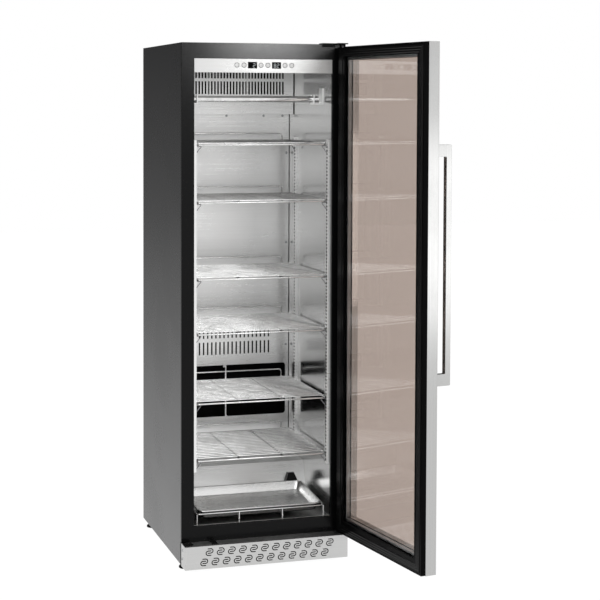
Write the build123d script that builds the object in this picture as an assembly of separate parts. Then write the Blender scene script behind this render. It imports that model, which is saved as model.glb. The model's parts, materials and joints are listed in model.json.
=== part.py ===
from build123d import *
import math
import os

# Dry aging cabinet with a glass door, modelled as it stands with the door open.
# X runs across the front, Y from front to back and Z up, in millimetres.
# The origin is the centre of the base pan's flat underside.

# Cabinet casing
WIDTH = 595.0
DEPTH = 650.0
HEIGHT = 1826.0
SHEET = 1.0
FOOT_HEIGHT = 24.0
FOOT_X = 272.0
FOOT_Y = 275.0
FOOT_STEM = 5.0
SIDE = WIDTH / 2
FRONT = -DEPTH / 2
BACK = DEPTH / 2
CASE = SIDE - SHEET - 0.1

# Black frame round the opening, and the sheet-metal liner behind it
FACE_THICKNESS = 12.0
FACE_LOW = 78.0
OPENING_HALF = 251.75
OPENING_LOW = 133.0
OPENING_HIGH = 1771.5
CASE_FRONT = FRONT + FACE_THICKNESS
LINER_HALF = 252.0
LINER_BACK = 270.0
LINER_FLOOR = 134.0
LINER_CEILING = 1771.0
STEP_EDGE_Y = 0.0
STEP_TOP = 265.0
STEP_FOOT_Y = -37.4
COMPARTMENT_ROOF = 226.0
UNDERFLOOR = 73.0

# Perforated panel in front of the evaporator, and the duct cover above it
PANEL_Y = 195.0
PANEL_HALF = 250.0
VENT_ROWS = ((647.9, 696.4), (711.1, 759.5))
VENT_SLOTS = 22
VENT_PITCH = 16.2
VENT_WIDTH = 5.7
FILTER_LOW = 407.5
FILTER_HIGH = 606.5
FILTER_HALF = 238.0
DUCT_Y = 135.0
DUCT_HALF = 249.0
DUCT_LOW = 1574.6
DUCT_ROWS = ((1649.7, 1698.3), (1709.7, 1758.0))
DUCT_SLOTS = 35
DUCT_PITCH = 12.2
DUCT_SLOT_WIDTH = 6.4
EVAPORATOR_FAN_Z = 1672.0
FAN_BLADE_WIDTH = 34.0
FAN_BLADE_PITCH = 24.0
FIN = 3.0

# Round pieces that need no fine surface are made with flat sides
ROUND_SIDES = 16
SMALL_ROUND_SIDES = 8
BORE_SIDES = 20

# Shelves, their standards and clips
SHELF_HEIGHTS = (1470.0, 1267.0, 997.5, 804.5, 560.0, 358.0)
SHELF_HALF = 235.0
SHELF_FRONT = -313.0 + 3.0
SHELF_BACK = 143.0
SHELF_FRAME_WIRE = 6.0
SHELF_WIRE = 5.0
SHELF_WIRES = 17
SHELF_WIRE_PITCH = 25.0
SHELF_OVERHANG = 2.5
SHELF_RAIL_HALF = 206.0
SHELF_RAIL_RISE = 25.0
STANDARD_LOW = 321.0
STANDARD_HIGH = 1487.5
STANDARD_PROUD = 12.0
STANDARD_WIDE = 20.0
STANDARD_Y = (-303.0, 85.0)
CLIP_DROP = 25.0
CLIP_REACH = 22.0
CLIP_WIRE = 4.0

# Hanging rod, drip tray and its wire rack
ROD_RADIUS = 11.2
ROD_Y = -205.0
ROD_Z = 1631.0
ROD_HALF = 241.0
TRAY_HALF = 229.0
TRAY_FRONT = -303.0
TRAY_LENGTH = 262.0
TRAY_RIM_Z = 178.0
TRAY_DEPTH = 32.0
TRAY_TILT = 4.8
TRAY_WALL = 1.2
RACK_HALF = 234.0
RACK_WIRE = 5.0
RACK_DROP = 11.0

# Control strip
FASCIA_LOW = 1723.0
BUTTON_X = (-99.0, -73.3, -11.5, 13.3, 76.0, 101.1)
BUTTON_Z = 1749.2
BUTTON_RADIUS = 8.6
DISPLAY_X = (-42.6, 45.0)
DISPLAY_WIDTH = 33.0
DISPLAY_HEIGHT = 22.4

# Plinth with its hooked vents
PLINTH_FRONT = -385.0
PLINTH_LOW = -2.5
PLINTH_HIGH = 78.0
PLINTH_LIP = 55.0
PLINTH_SHEET = 1.5
VENT_HOOK_PITCH = 40.1
VENT_HOOK_ROWS = ((-210.4, 56.0), (-229.3, 21.3))
VENT_HOOKS_PER_ROW = 12
HOOK_RADIUS = 7.6
HOOK_STROKE = 3.3
HOOK_STRAIGHT = 9.8
HOOK_CENTRE_X = 4.75
HOOK_FLATS = 4

# Door, given as it is when closed
DOOR_OPEN_ANGLE = 98.94
HINGE_X = 289.1
HINGE_Y = -348.8
DOOR_LOW = 80.2
DOOR_HIGH = 1817.7
DOOR_FRONT = -385.0
DOOR_SKIN_BACK = -345.0
DOOR_BACK = -328.0
SKIN = 1.2
WINDOW_HALF = 238.5
WINDOW_LOW = 141.0
WINDOW_HIGH = 1769.5
PANE_HALF = 253.5
PANE_MARGIN = PANE_HALF - WINDOW_HALF
GASKET_OUT = 287.0
GASKET_WIDE = 24.0
GASKET_THICK = 2.7
PIN_RADIUS = 4.0
PIN_CLEARANCE = 0.05
BUSH_RADIUS = 6.0
HANDLE_X = (-283.0, -264.0)
HANDLE_Z = (696.0, 1484.0)
HANDLE_END = 39.0
HANDLE_GAP_BACK = -422.5
HANDLE_FRONT = -442.0


def block(x0, x1, y0, y1, z0, z1):
    """Box between two corners."""
    size = Box(x1 - x0, y1 - y0, z1 - z0)
    return Pos((x0 + x1) / 2, (y0 + y1) / 2, (z0 + z1) / 2) * size


def along_x(points, x0, x1):
    """Outline in Y and Z, extruded along X."""
    face = make_face(Polyline(*points, close=True))
    return extrude(Plane.YZ.offset(x0) * face, x1 - x0)


def along_y(face, y0, y1):
    """Flat face in X and Z, extruded along Y."""
    return extrude(Plane.XZ.offset(-y1) * face, y1 - y0)


def sheet_line(points, thickness):
    """Line beside a folded sheet's line, one thickness to its right."""
    normals = []
    for (a0, b0), (a1, b1) in zip(points, points[1:]):
        run = math.hypot(a1 - a0, b1 - b0)
        normals.append(((b1 - b0) / run, -(a1 - a0) / run))
    line = []
    for i, (a, b) in enumerate(points):
        before = normals[max(i - 1, 0)]
        after = normals[min(i, len(normals) - 1)]
        stretch = thickness / (1 + before[0] * after[0] + before[1] * after[1])
        line.append((a + (before[0] + after[0]) * stretch, b + (before[1] + after[1]) * stretch))
    return line


def folded_sheet(points, thickness, x0, x1):
    """Sheet folded along a line in Y and Z and extruded along X."""
    return along_x(list(points) + sheet_line(points, thickness)[::-1], x0, x1)


def straight_wire(start, end, diameter):
    """Straight wire with flats above and below, so that crossing wires seat on each other."""
    run = Vector(*end) - Vector(*start)
    section_plane = Plane(origin=start, x_dir=run.cross(Vector(0, 0, 1)), z_dir=run)
    return extrude(section_plane * RegularPolygon(diameter * 0.55, 6), run.length)


def bent_wire(points, diameter, close=False):
    """Wire bent along a line of points, mitred at its corners."""
    path = Polyline(*points, close=close)
    run = Vector(*points[1]) - Vector(*points[0])
    side = run.cross(Vector(0, 0, 1))
    if side.length < 1e-6:
        side = Vector(1, 0, 0)
    start = points[0]
    if close:
        start = (Vector(*points[0]) + Vector(*points[1])) / 2
        path = Polyline(start, *points[1:], points[0], close=True)
    section = Plane(origin=start, x_dir=side, z_dir=run) * RegularPolygon(diameter * 0.55, 6)
    return sweep(section, path=path, transition=Transition.RIGHT)


def wire_height(diameter):
    """Height of a wire between its flats."""
    return diameter * 0.55 * math.sqrt(3)


def slot_row(count, pitch, width, low, high, y):
    """Row of upright slots, as the cutters that pierce a sheet at depth y."""
    slots = []
    for i in range(count):
        x = (i - (count - 1) / 2) * pitch
        slots.append(block(x - width / 2, x + width / 2, y - 1, y + SHEET + 1, low, high))
    return slots


def rounded_opening(x0, x1, z0, z1, radius, y0, y1):
    """Rounded rectangle in X and Z, extruded along Y."""
    face = Pos((x0 + x1) / 2, (z0 + z1) / 2) * RectangleRounded(x1 - x0, z1 - z0, radius)
    return along_y(face, y0, y1)


def ring(half, low, high, wide, y0, y1):
    """Upright rectangular ring, symmetric about X = 0."""
    inner = block(wide - half, half - wide, y0 - 1, y1 + 1, low + wide, high - wide)
    return block(-half, half, y0, y1, low, high) - inner


def open_door(shape):
    """Turn a closed door's piece about the hinge pins to where it stands open."""
    return shape.rotate(Axis((HINGE_X, HINGE_Y, 0), (0, 0, 1)), DOOR_OPEN_ANGLE)


def upright_cylinder(x, y, z0, z1, radius):
    """Cylinder along Z."""
    return Pos(x, y, (z0 + z1) / 2) * Cylinder(radius, z1 - z0)


def upright_prism(x, y, z0, z1, radius, sides):
    """Many-sided prism along Z."""
    return Pos(x, y, z0) * extrude(RegularPolygon(radius, sides), z1 - z0)


def side_panel(sign):
    """Outer side sheet with a narrow return at its front and back edges."""
    panel = block(SIDE - SHEET, SIDE, CASE_FRONT, BACK, 0, HEIGHT)
    panel += block(SIDE - 13, SIDE - SHEET, CASE_FRONT, CASE_FRONT + SHEET, FACE_LOW, HEIGHT - SHEET - 0.1)
    panel += block(SIDE - 13, SIDE - SHEET, BACK - 2 * SHEET, BACK - SHEET, 2, HEIGHT - SHEET - 0.1)
    return panel if sign > 0 else panel.mirror(Plane.YZ)


def top_panel():
    return block(-CASE, CASE, CASE_FRONT, BACK - SHEET, HEIGHT - SHEET, HEIGHT)


def back_panel():
    """Back sheet with louvre slots over the machine compartment and a hole for the inlet."""
    panel = block(-CASE, CASE, BACK - SHEET, BACK, 2, HEIGHT)
    for row in range(2):
        low = 40 + row * 80
        for i in range(12):
            x = (i - 5.5) * 30 + 60
            panel -= block(x - 4, x + 4, BACK - 5, BACK + 5, low, low + 60)
    return panel - block(-261, -219, BACK - 5, BACK + 5, 148, 176)


def base_pan():
    """Floor of the cabinet: upturned edges, a pressed tray for melt water and nuts for the feet."""
    pan = block(-CASE, CASE, CASE_FRONT, BACK - 2 * SHEET, 0, 1.5)
    for x in (-CASE, CASE - 1.5):
        pan += block(x, x + 1.5, CASE_FRONT, BACK - 14, 1.5, 25)
    pan += block(-60, 50, 70, 310, 1.5, 14) - block(-58.5, 48.5, 71.5, 308.5, 1.5, 15)
    for x in (-FOOT_X, FOOT_X):
        for y in (-FOOT_Y, FOOT_Y):
            pan += upright_prism(x, y, 1.5, 9.5, 9, 6)
            pan -= upright_prism(x, y, -1, 2, FOOT_STEM + 0.1, SMALL_ROUND_SIDES)
            pan -= upright_prism(x, y, 1, 10, FOOT_STEM, SMALL_ROUND_SIDES)
    return pan


def front_beam():
    """Cross-member under the opening, open for air, with tabs that carry the plinth."""
    beam = block(-SIDE, SIDE, FRONT, CASE_FRONT, 0, FACE_LOW)
    beam -= block(-235, 235, FRONT - 1, CASE_FRONT + 1, 10, 62)
    for side in (-1, 1):
        x0, x1 = sorted((side * 294.5, side * 296.0))
        beam += block(x0, x1, FRONT - 27, FRONT, 12, 68)
    return beam


def floor_line():
    """The liner floor's upper line in Y and Z: flat in front, then up and over the step."""
    return [(CASE_FRONT, LINER_FLOOR), (STEP_FOOT_Y, LINER_FLOOR), (STEP_EDGE_Y, STEP_TOP),
            (LINER_BACK, STEP_TOP)]


def liner_outline():
    """Outside of the liner in Y and Z, from its front edge round the floor, step, back and ceiling."""
    floor = sheet_line(floor_line(), SHEET)
    return [floor[0], floor[1], floor[2], (LINER_BACK + SHEET, STEP_TOP - SHEET),
            (LINER_BACK + SHEET, LINER_CEILING + SHEET), (CASE_FRONT, LINER_CEILING + SHEET)]


def insulation():
    """Foam between casing and liner, with room below it for the machine compartment."""
    front = CASE_FRONT + SHEET + 0.1
    back = BACK - 2 * SHEET - 0.1
    top = HEIGHT - SHEET - 0.1
    outer = [(front, UNDERFLOOR), (-20, UNDERFLOOR), (45, COMPARTMENT_ROOF), (back, COMPARTMENT_ROOF),
             (back, top), (front, top)]
    foam = along_x(outer, -(SIDE - 2), SIDE - 2)
    return foam - along_x(liner_outline(), -(LINER_HALF + SHEET), LINER_HALF + SHEET)


def face_frame():
    """Black front frame that the door's gasket closes against."""
    frame = block(-SIDE, SIDE, FRONT, CASE_FRONT, FACE_LOW, HEIGHT)
    return frame - block(-OPENING_HALF, OPENING_HALF, FRONT - 1, CASE_FRONT + 1, OPENING_LOW, OPENING_HIGH)


def liner_side(sign):
    """Flat side wall of the liner, cut to the floor's step."""
    x0, x1 = sorted((sign * LINER_HALF, sign * (LINER_HALF + SHEET)))
    return along_x(liner_outline(), x0, x1)


def liner_floor():
    return folded_sheet(floor_line(), SHEET, -LINER_HALF, LINER_HALF)


def liner_back():
    """Ceiling and back sheet in one fold, with the welded rails that the panel screws into."""
    line = [(LINER_BACK, STEP_TOP), (LINER_BACK, LINER_CEILING), (CASE_FRONT, LINER_CEILING)]
    back = folded_sheet(line, SHEET, -LINER_HALF, LINER_HALF)
    for side in (-1, 1):
        x0, x1 = sorted((side * 232, side * 248))
        rail = block(x0, x1, PANEL_Y + SHEET, LINER_BACK, STEP_TOP + 20, DUCT_LOW)
        groove0, groove1 = sorted((side * 231, side * 246))
        back += rail - block(groove0, groove1, PANEL_Y + 3, LINER_BACK, STEP_TOP, DUCT_LOW + 1)
    back += block(-232, 232, PANEL_Y + SHEET, PANEL_Y + 3, DUCT_LOW - 18, DUCT_LOW)
    return back


def rear_panel():
    """Removable air panel: deep side returns, two vent rows, the filters' opening and a fan hole."""
    low = STEP_TOP + 0.2
    high = LINER_CEILING - 0.1
    panel = block(-PANEL_HALF, PANEL_HALF, PANEL_Y, PANEL_Y + SHEET, low, high)
    for side in (-1, 1):
        x0, x1 = sorted((side * (PANEL_HALF - SHEET), side * PANEL_HALF))
        panel += block(x0, x1, PANEL_Y, LINER_BACK - 0.1, low, high)
    for low_edge, high_edge in VENT_ROWS:
        panel -= slot_row(VENT_SLOTS, VENT_PITCH, VENT_WIDTH, low_edge, high_edge, PANEL_Y)
    panel -= rounded_opening(-FILTER_HALF, FILTER_HALF, FILTER_LOW, FILTER_HIGH, 12, PANEL_Y - 1, PANEL_Y + 2)
    fan_hole = Pos(0, PANEL_Y + 5, EVAPORATOR_FAN_Z) * Rot(90, 0, 0)
    panel -= fan_hole * extrude(RegularPolygon(66, BORE_SIDES), 10)
    clip = block(-12, -4, PANEL_Y - 4, PANEL_Y, FILTER_HIGH - 8, FILTER_HIGH + 10)
    return panel + clip


def filter_panel(side):
    """Black filter cassette behind its opening: a rimmed frame round a field of upright ribs."""
    x0, x1 = sorted((side * 1.0, side * (FILTER_HALF - 7.5)))
    y0 = PANEL_Y + SHEET
    low, high = FILTER_LOW - 5, FILTER_HIGH + 5
    panel = block(x0, x1, y0, y0 + 10, low, high)
    panel -= block(x0 + 12, x1 - 12, y0 - 1, y0 + 4, low + 14, high - 14)
    for i in range(1, 8):
        x = x0 + 12 + i * (x1 - x0 - 24) / 8
        panel += block(x - 1.5, x + 1.5, y0 + 1, y0 + 4, low + 14, high - 14)
    return panel


def duct_cover():
    """Fan duct's cover across the top of the back wall, pierced with two rows of slots."""
    high = LINER_CEILING - 0.1
    cover = block(-DUCT_HALF, DUCT_HALF, DUCT_Y, PANEL_Y - 0.1, DUCT_LOW, high)
    cover -= block(-DUCT_HALF + SHEET, DUCT_HALF - SHEET, DUCT_Y + SHEET, PANEL_Y + 1, DUCT_LOW + SHEET, high + 1)
    for low_edge, high_edge in DUCT_ROWS:
        cover -= slot_row(DUCT_SLOTS, DUCT_PITCH, DUCT_SLOT_WIDTH, low_edge, high_edge, DUCT_Y)
    return cover


def evaporator():
    """Cold coil on the back sheet: upright fins on a back plate, open above and below for the air."""
    half, low, high, gaps = 190.0, 880.0, 1260.0, 16
    pitch = (2 * half - FIN) / gaps
    coil = block(-half, half, 214, LINER_BACK, low, high)
    for i in range(gaps):
        x = i * pitch + FIN - half
        coil -= block(x, x + pitch - FIN, 213, LINER_BACK - 2, low - 1, high + 1)
    return coil


def fan_frame(size, depth):
    """Square fan housing with its bore, a motor on three struts and the motor's shaft."""
    bore = size / 2 - 5
    frame = Box(size, size, depth) - upright_prism(0, 0, -depth, depth, bore, BORE_SIDES)
    motor_low = depth / 2 - 8
    motor = upright_prism(0, 0, motor_low, motor_low + 8, size * 0.16, SMALL_ROUND_SIDES)
    for i in range(3):
        strut = Pos(0, (bore + size * 0.15) / 2 + 1, motor_low + 5.5) * Box(6, bore - size * 0.15 + 3, 5)
        motor += strut.rotate(Axis.Z, 60 + i * 120)
    shaft = Pos(0, 0, motor_low - 4) * Cylinder(3, 8)
    return frame + motor + shaft


def fan_rotor(size, depth):
    """Fan wheel: a hub bored for the shaft and five pitched blades."""
    hub_radius = size * 0.16
    length = depth - 12
    top = depth / 2 - 9
    tip = math.sqrt((size / 2 - 7) ** 2 - (FAN_BLADE_WIDTH / 2) ** 2)
    root = hub_radius - 4
    wheel = upright_prism(0, 0, top - length, top, hub_radius, SMALL_ROUND_SIDES)
    for i in range(5):
        blade = Rot(FAN_BLADE_PITCH, 0, 0) * Box(tip - root, FAN_BLADE_WIDTH, 2)
        blade = Pos((root + tip) / 2, 0, top - length / 2) * blade
        wheel += blade.rotate(Axis.Z, i * 72)
    return wheel - Pos(0, 0, top) * Cylinder(3 + PIN_CLEARANCE, 2 * 7.5)


def compressor(x, y):
    """Welded compressor pot on a footed base plate, with a stub pipe."""
    profile = ((54, 12), (62, 26), (62, 98), (56, 122), (34, 138))
    sections = [Pos(x, y, z) * RegularPolygon(radius, ROUND_SIDES) for radius, z in profile]
    pot = loft(sections, ruled=True)
    plate = block(x - 85, x + 85, y - 62, y + 62, 9, 13)
    for foot_x in (x - 75, x + 75):
        for foot_y in (y - 52, y + 52):
            plate += upright_prism(foot_x, foot_y, 1.5, 10, 9, SMALL_ROUND_SIDES)
    pipe = upright_prism(x - 48, y, 100, 178, 4, 6)
    return pot + plate + pipe


def condenser():
    """Finned condenser between its two header plates, open to the fan, standing on the base pan."""
    x0, x1, y0, y1, low, high, gaps = -222.0, -132.0, 95.0, 285.0, 1.5, 196.5, 12
    pitch = (high - low - FIN) / gaps
    coil = block(x0, x1, y0, y1, low, high)
    for i in range(gaps):
        z = low + FIN + i * pitch
        coil -= block(x0 - 1, x1 + 1, y0 + FIN, y1 - FIN, z, z + pitch - FIN)
    return coil


def levelling_feet():
    """Four screw feet: a wide pad, a hexagon to turn it by and the stem that screws into the pan's nut."""
    low = -FOOT_HEIGHT
    foot = upright_prism(0, 0, low, low + 7, 19, ROUND_SIDES)
    foot += upright_prism(0, 0, low + 7, low + 14, 11, 6)
    foot += upright_prism(0, 0, low + 14, 12, FOOT_STEM, SMALL_ROUND_SIDES)
    places = [(x, y) for x in (-FOOT_X, FOOT_X) for y in (-FOOT_Y, FOOT_Y)]
    return Compound([Pos(x, y, 0) * foot for x, y in places])


def power_inlet():
    """Three-pole inlet body in the back sheet, its socket open to the rear."""
    body = block(-260.5, -219.5, BACK - 30, BACK, 148.5, 175.5)
    body += block(-264, -216, BACK, BACK + 2, 145, 179)
    body -= block(-253, -227, BACK - 18, BACK + 3, 153.5, 170.5)
    for x, z in ((-247, 159), (-233, 159), (-240, 165)):
        body += block(x - 1, x + 1, BACK - 18, BACK - 2, z - 2, z + 2)
    return body


def shelf_standards():
    """Four upright channels on the liner walls, slotted where the clips hook in."""
    wall = LINER_HALF
    inner = wall - STANDARD_PROUD
    parts = []
    for y in STANDARD_Y:
        channel = block(inner, wall, y - STANDARD_WIDE / 2, y + STANDARD_WIDE / 2, STANDARD_LOW, STANDARD_HIGH)
        hollow = block(inner + 1.5, wall + 1, y - STANDARD_WIDE / 2 + 1.5, y + STANDARD_WIDE / 2 - 1.5,
                       STANDARD_LOW - 1, STANDARD_HIGH + 1)
        channel -= hollow
        for z in SHELF_HEIGHTS:
            channel -= block(inner - 1, inner + 3, y - 2.5, y + 2.5, z - 12, z - 2)
        parts += [channel, channel.mirror(Plane.YZ)]
    return Compound(parts)


def clip_side(z, y):
    """One wire clip: a closed triangle whose heel hooks through the standard's slot."""
    wall = LINER_HALF - STANDARD_PROUD
    top = z - wire_height(SHELF_FRAME_WIRE) / 2 - 0.15
    tip = wall - CLIP_REACH
    outer = [(wall, top), (tip, top), (tip, top - 4), (wall, top - CLIP_DROP)]
    hole = [(wall - CLIP_WIRE, top - CLIP_WIRE), (tip + 9, top - CLIP_WIRE), (wall - CLIP_WIRE, top - 17)]
    clip = along_y(make_face(Polyline(*outer, close=True)), y - 2, y + 2)
    clip -= along_y(make_face(Polyline(*hole, close=True)), y - 3, y + 3)
    heel = block(wall, wall + 5, y - 2, y + 2, top - 6, top)
    tooth = block(wall + 1.8, wall + 5, y - 2, y + 2, top - 12, top - 6)
    return clip + heel + tooth


def shelf_clips():
    clips = []
    for z in SHELF_HEIGHTS:
        for y in STANDARD_Y:
            clip = clip_side(z, y)
            clips += [clip, clip.mirror(Plane.YZ)]
    return Compound(clips)


def shelf(z):
    """Welded wire shelf: a bent frame, two cross bars, the deck wires and a back rail."""
    frame_wire, wire = SHELF_FRAME_WIRE, SHELF_WIRE
    front, back = SHELF_FRONT, SHELF_BACK
    corners = [(-SHELF_HALF, front, z), (SHELF_HALF, front, z), (SHELF_HALF, back, z), (-SHELF_HALF, back, z)]
    pieces = [bent_wire(corners, frame_wire, close=True)]
    for x in (-80, 80):
        pieces.append(straight_wire((x, front + frame_wire * 0.55, z), (x, back - frame_wire * 0.55, z), frame_wire))
    deck = z + wire_height(frame_wire) / 2 + wire_height(wire) / 2
    reach = SHELF_HALF + SHELF_OVERHANG
    for i in range(1, SHELF_WIRES + 1):
        y = front + i * SHELF_WIRE_PITCH
        pieces.append(straight_wire((-reach, y, deck), (reach, y, deck), wire))
    rail_low = z + wire_height(frame_wire) / 2
    rail_high = deck + SHELF_RAIL_RISE
    half, cut = SHELF_RAIL_HALF, 6
    rail = [(-half, back, rail_low), (-half, back, rail_high - cut), (-half + cut, back, rail_high),
            (half - cut, back, rail_high), (half, back, rail_high - cut), (half, back, rail_low)]
    pieces.append(bent_wire(rail, wire))
    return Compound(pieces)


def rod_brackets():
    """Pair of J-shaped strips on the walls, notched to hold the hanging rod."""
    thick = 4.0
    wall, inner = LINER_HALF, 215.0
    low, wall_top, inner_top = 1612.0, 1671.0, 1647.0
    outline = [(wall, wall_top), (wall, low), (inner, low), (inner, inner_top), (inner + thick, inner_top),
               (inner + thick, low + thick), (wall - thick, low + thick), (wall - thick, wall_top)]
    strip = along_y(make_face(Polyline(*outline, close=True)), ROD_Y - 20, ROD_Y + 20)
    notch_radius = ROD_RADIUS + 0.1
    notch = Pos(inner, ROD_Y, ROD_Z) * Rot(0, 90, 0) * Cylinder(notch_radius, 12)
    notch += block(inner - 6, inner + 6, ROD_Y - notch_radius, ROD_Y + notch_radius, ROD_Z, inner_top + 1)
    strip -= notch
    return Compound([strip, strip.mirror(Plane.YZ)])


def hanging_rod():
    rod = Rot(0, 90, 0) * Cylinder(ROD_RADIUS, 2 * ROD_HALF)
    return Pos(0, ROD_Y, ROD_Z) * chamfer(rod.edges().filter_by(GeomType.CIRCLE), 1)


def tilted(shape):
    """Tip a piece built flat, its front rim at the origin, to how the tray sits in the cabinet."""
    return Pos(0, TRAY_FRONT, TRAY_RIM_Z) * Rot(TRAY_TILT, 0, 0) * shape


def tilted_point(y, z):
    """Where a point of the flat tray ends up in Y and Z."""
    angle = math.radians(TRAY_TILT)
    return (TRAY_FRONT + y * math.cos(angle) - z * math.sin(angle),
            TRAY_RIM_Z + y * math.sin(angle) + z * math.cos(angle))


def tray_rack():
    """Welded wire rack: a loop round the tray, two bars under its floor and legs on the liner floor."""
    inset = 4.0
    half = RACK_HALF
    y0, y1, z = inset, TRAY_LENGTH - inset, -RACK_DROP
    corners = [(-half, y0, z), (half, y0, z), (half, y1, z), (-half, y1, z)]
    rack = tilted(bent_wire(corners, RACK_WIRE, close=True))
    bar_z = -TRAY_DEPTH - 0.1 - wire_height(RACK_WIRE) / 2
    for x in (-80, 80):
        rack += tilted(straight_wire((x, y0 - 3, bar_z), (x, y1, bar_z), RACK_WIRE))
    for y_local in (y0, y1):
        y, top = tilted_point(y_local, z)
        for x in (-half, -80, 80, half):
            rack += block(x - 2, x + 2, y - 2, y + 2, LINER_FLOOR + 0.1, top)
    return rack


def tray_section(inset, radius, z):
    """Cornered rectangle across the flat tray, its corners cut in three flats."""
    half_x, half_y = TRAY_HALF - inset, TRAY_LENGTH / 2 - inset
    points = []
    for quarter, (sign_x, sign_y) in enumerate(((1, 1), (-1, 1), (-1, -1), (1, -1))):
        for flat in range(4):
            angle = math.radians(90 * quarter + 30 * flat)
            points.append((sign_x * (half_x - radius) + radius * math.cos(angle),
                           sign_y * (half_y - radius) + radius * math.sin(angle)))
    return Pos(0, TRAY_LENGTH / 2, z) * make_face(Polyline(*points, close=True))


def drip_tray():
    """Deep-drawn tray: sloping walls, cut corners, a flat floor and a rim turned outwards."""
    low, wall, rim_inset, floor_inset = -TRAY_DEPTH, TRAY_WALL, 8.0, 17.0
    outer = loft([tray_section(floor_inset, 14, low), tray_section(rim_inset, 22, 0)], ruled=True)
    inner = loft([tray_section(floor_inset + wall, 13, low + wall), tray_section(rim_inset + wall, 21, wall)],
                 ruled=True)
    rim = extrude(tray_section(0, 26, -3.5), 5)
    rim -= extrude(tray_section(rim_inset + wall, 21, -10), 20)
    return tilted(outer + rim - inner)


def sensor_cover():
    """Tapered black cover on the step's sloping face."""
    run = math.hypot(STEP_EDGE_Y - STEP_FOOT_Y, STEP_TOP - LINER_FLOOR)
    up = ((STEP_EDGE_Y - STEP_FOOT_Y) / run, (STEP_TOP - LINER_FLOOR) / run)
    start = 58.0
    origin = (195, STEP_FOOT_Y + up[0] * start, LINER_FLOOR + up[1] * start)
    plane = Plane(origin=origin, x_dir=(1, 0, 0), z_dir=(0, -up[1], up[0]))
    outline = Polyline((-28, 0), (28, 0), (13, 37), (-13, 37), close=True)
    return extrude(plane * make_face(outline), 20, taper=10)


def hex_screw(length, head, shank):
    """Screw with a six-sided head, standing along +Z from its seat at the origin."""
    return extrude(RegularPolygon(head, 6), 2) + extrude(RegularPolygon(shank, 6), -length)


PANEL_SCREWS = [(x, 1568.0) for x in (-224, -148, 0, 148, 224)]
PANEL_SCREWS += [(x, z) for x in (-240, 240) for z in (1425.0, 1077.0, 678.0)]
PLINTH_SCREWS = [(side, z) for side in (-1, 1) for z in (26.7, 56.7)]
PLINTH_SCREW_Y = -341.6


def screw_places():
    """Where the sheet-metal screws seat: on the air panel and on the plinth's side flanges."""
    places = [Pos(x, PANEL_Y, z) * Rot(90, 0, 0) for x, z in PANEL_SCREWS]
    for side, z in PLINTH_SCREWS:
        places.append(Pos(side * SIDE, PLINTH_SCREW_Y, z) * Rot(0, side * 90, 0))
    return places


def screw_holes():
    return [place * extrude(RegularPolygon(2.1, 6), -10) for place in screw_places()]


def sheet_screws():
    return Compound([place * hex_screw(6, 4.6, 2.0) for place in screw_places()])


def fascia():
    """Control strip: a folded sheet across the opening with windows and button holes."""
    front_back = FRONT + 1.5
    high = OPENING_HIGH - 0.5
    half = OPENING_HALF - 0.15
    strip = block(-half, half, FRONT, front_back, FASCIA_LOW, high)
    strip += block(-half, half, front_back, FRONT + 35, FASCIA_LOW, FASCIA_LOW + 1.5)
    strip += block(-half, half, front_back, FRONT + 35, LINER_CEILING - 1.5, LINER_CEILING)
    for x in DISPLAY_X:
        strip -= block(x - DISPLAY_WIDTH / 2, x + DISPLAY_WIDTH / 2, FRONT - 1, FRONT + 3,
                       BUTTON_Z - DISPLAY_HEIGHT / 2, BUTTON_Z + DISPLAY_HEIGHT / 2)
    for x in BUTTON_X:
        hole = Pos(x, FRONT + 5, BUTTON_Z) * Rot(90, 0, 0)
        strip -= hole * extrude(RegularPolygon(BUTTON_RADIUS + 0.2, ROUND_SIDES), 10)
    return strip


def display_board():
    """Circuit board behind the fascia with two display modules, switches and standoffs."""
    board_y = FRONT + 17
    board = block(-130, 130, board_y, board_y + 1.6, 1731, 1766)
    for x in DISPLAY_X:
        half, tall = DISPLAY_WIDTH / 2 - 0.3, DISPLAY_HEIGHT / 2 - 0.3
        board += block(x - half, x + half, FRONT + 0.6, board_y, BUTTON_Z - tall, BUTTON_Z + tall)
    for x in BUTTON_X:
        board += block(x - 3, x + 3, board_y - 3, board_y, BUTTON_Z - 3, BUTTON_Z + 3)
    for x in (-125, 125):
        board += block(x - 3, x + 3, FRONT + 1.5, board_y, BUTTON_Z - 3, BUTTON_Z + 3)
    return board


def button(x):
    """Round push button: a stepped cap, its keeper flange and the stem towards its switch."""
    solid = upright_prism(0, 0, -1.55, 0, BUTTON_RADIUS, ROUND_SIDES)
    solid += upright_prism(0, 0, -1, 0.2, BUTTON_RADIUS - 2.4, ROUND_SIDES)
    solid += upright_prism(0, 0, -3, -1.55, BUTTON_RADIUS + 1.4, ROUND_SIDES)
    solid += block(-2.2, 2.2, -2.2, 2.2, -12.5, -3)
    return Pos(x, FRONT, BUTTON_Z) * Rot(90, 0, 0) * solid


def half_round(cx, cz, radius):
    """Points down a half circle that bulges towards +X, in equal flats."""
    angles = [math.radians(90 - i * 180 / HOOK_FLATS) for i in range(HOOK_FLATS + 1)]
    return [(cx + radius * math.cos(a), cz + radius * math.sin(a)) for a in angles]


def hook(turn):
    """One hook-shaped slot: two straight strokes joined by a half round."""
    outer = HOOK_RADIUS + HOOK_STROKE / 2
    inner = HOOK_RADIUS - HOOK_STROKE / 2
    end = HOOK_CENTRE_X - HOOK_STRAIGHT
    cz = HOOK_RADIUS / 2
    points = [(end, cz + outer)] + half_round(HOOK_CENTRE_X, cz, outer) + [(end, cz - outer), (end, cz - inner)]
    points += half_round(HOOK_CENTRE_X, cz, inner)[::-1] + [(end, cz + inner)]
    return Rot(0, 0, turn) * make_face(Polyline(*points, close=True))


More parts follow.
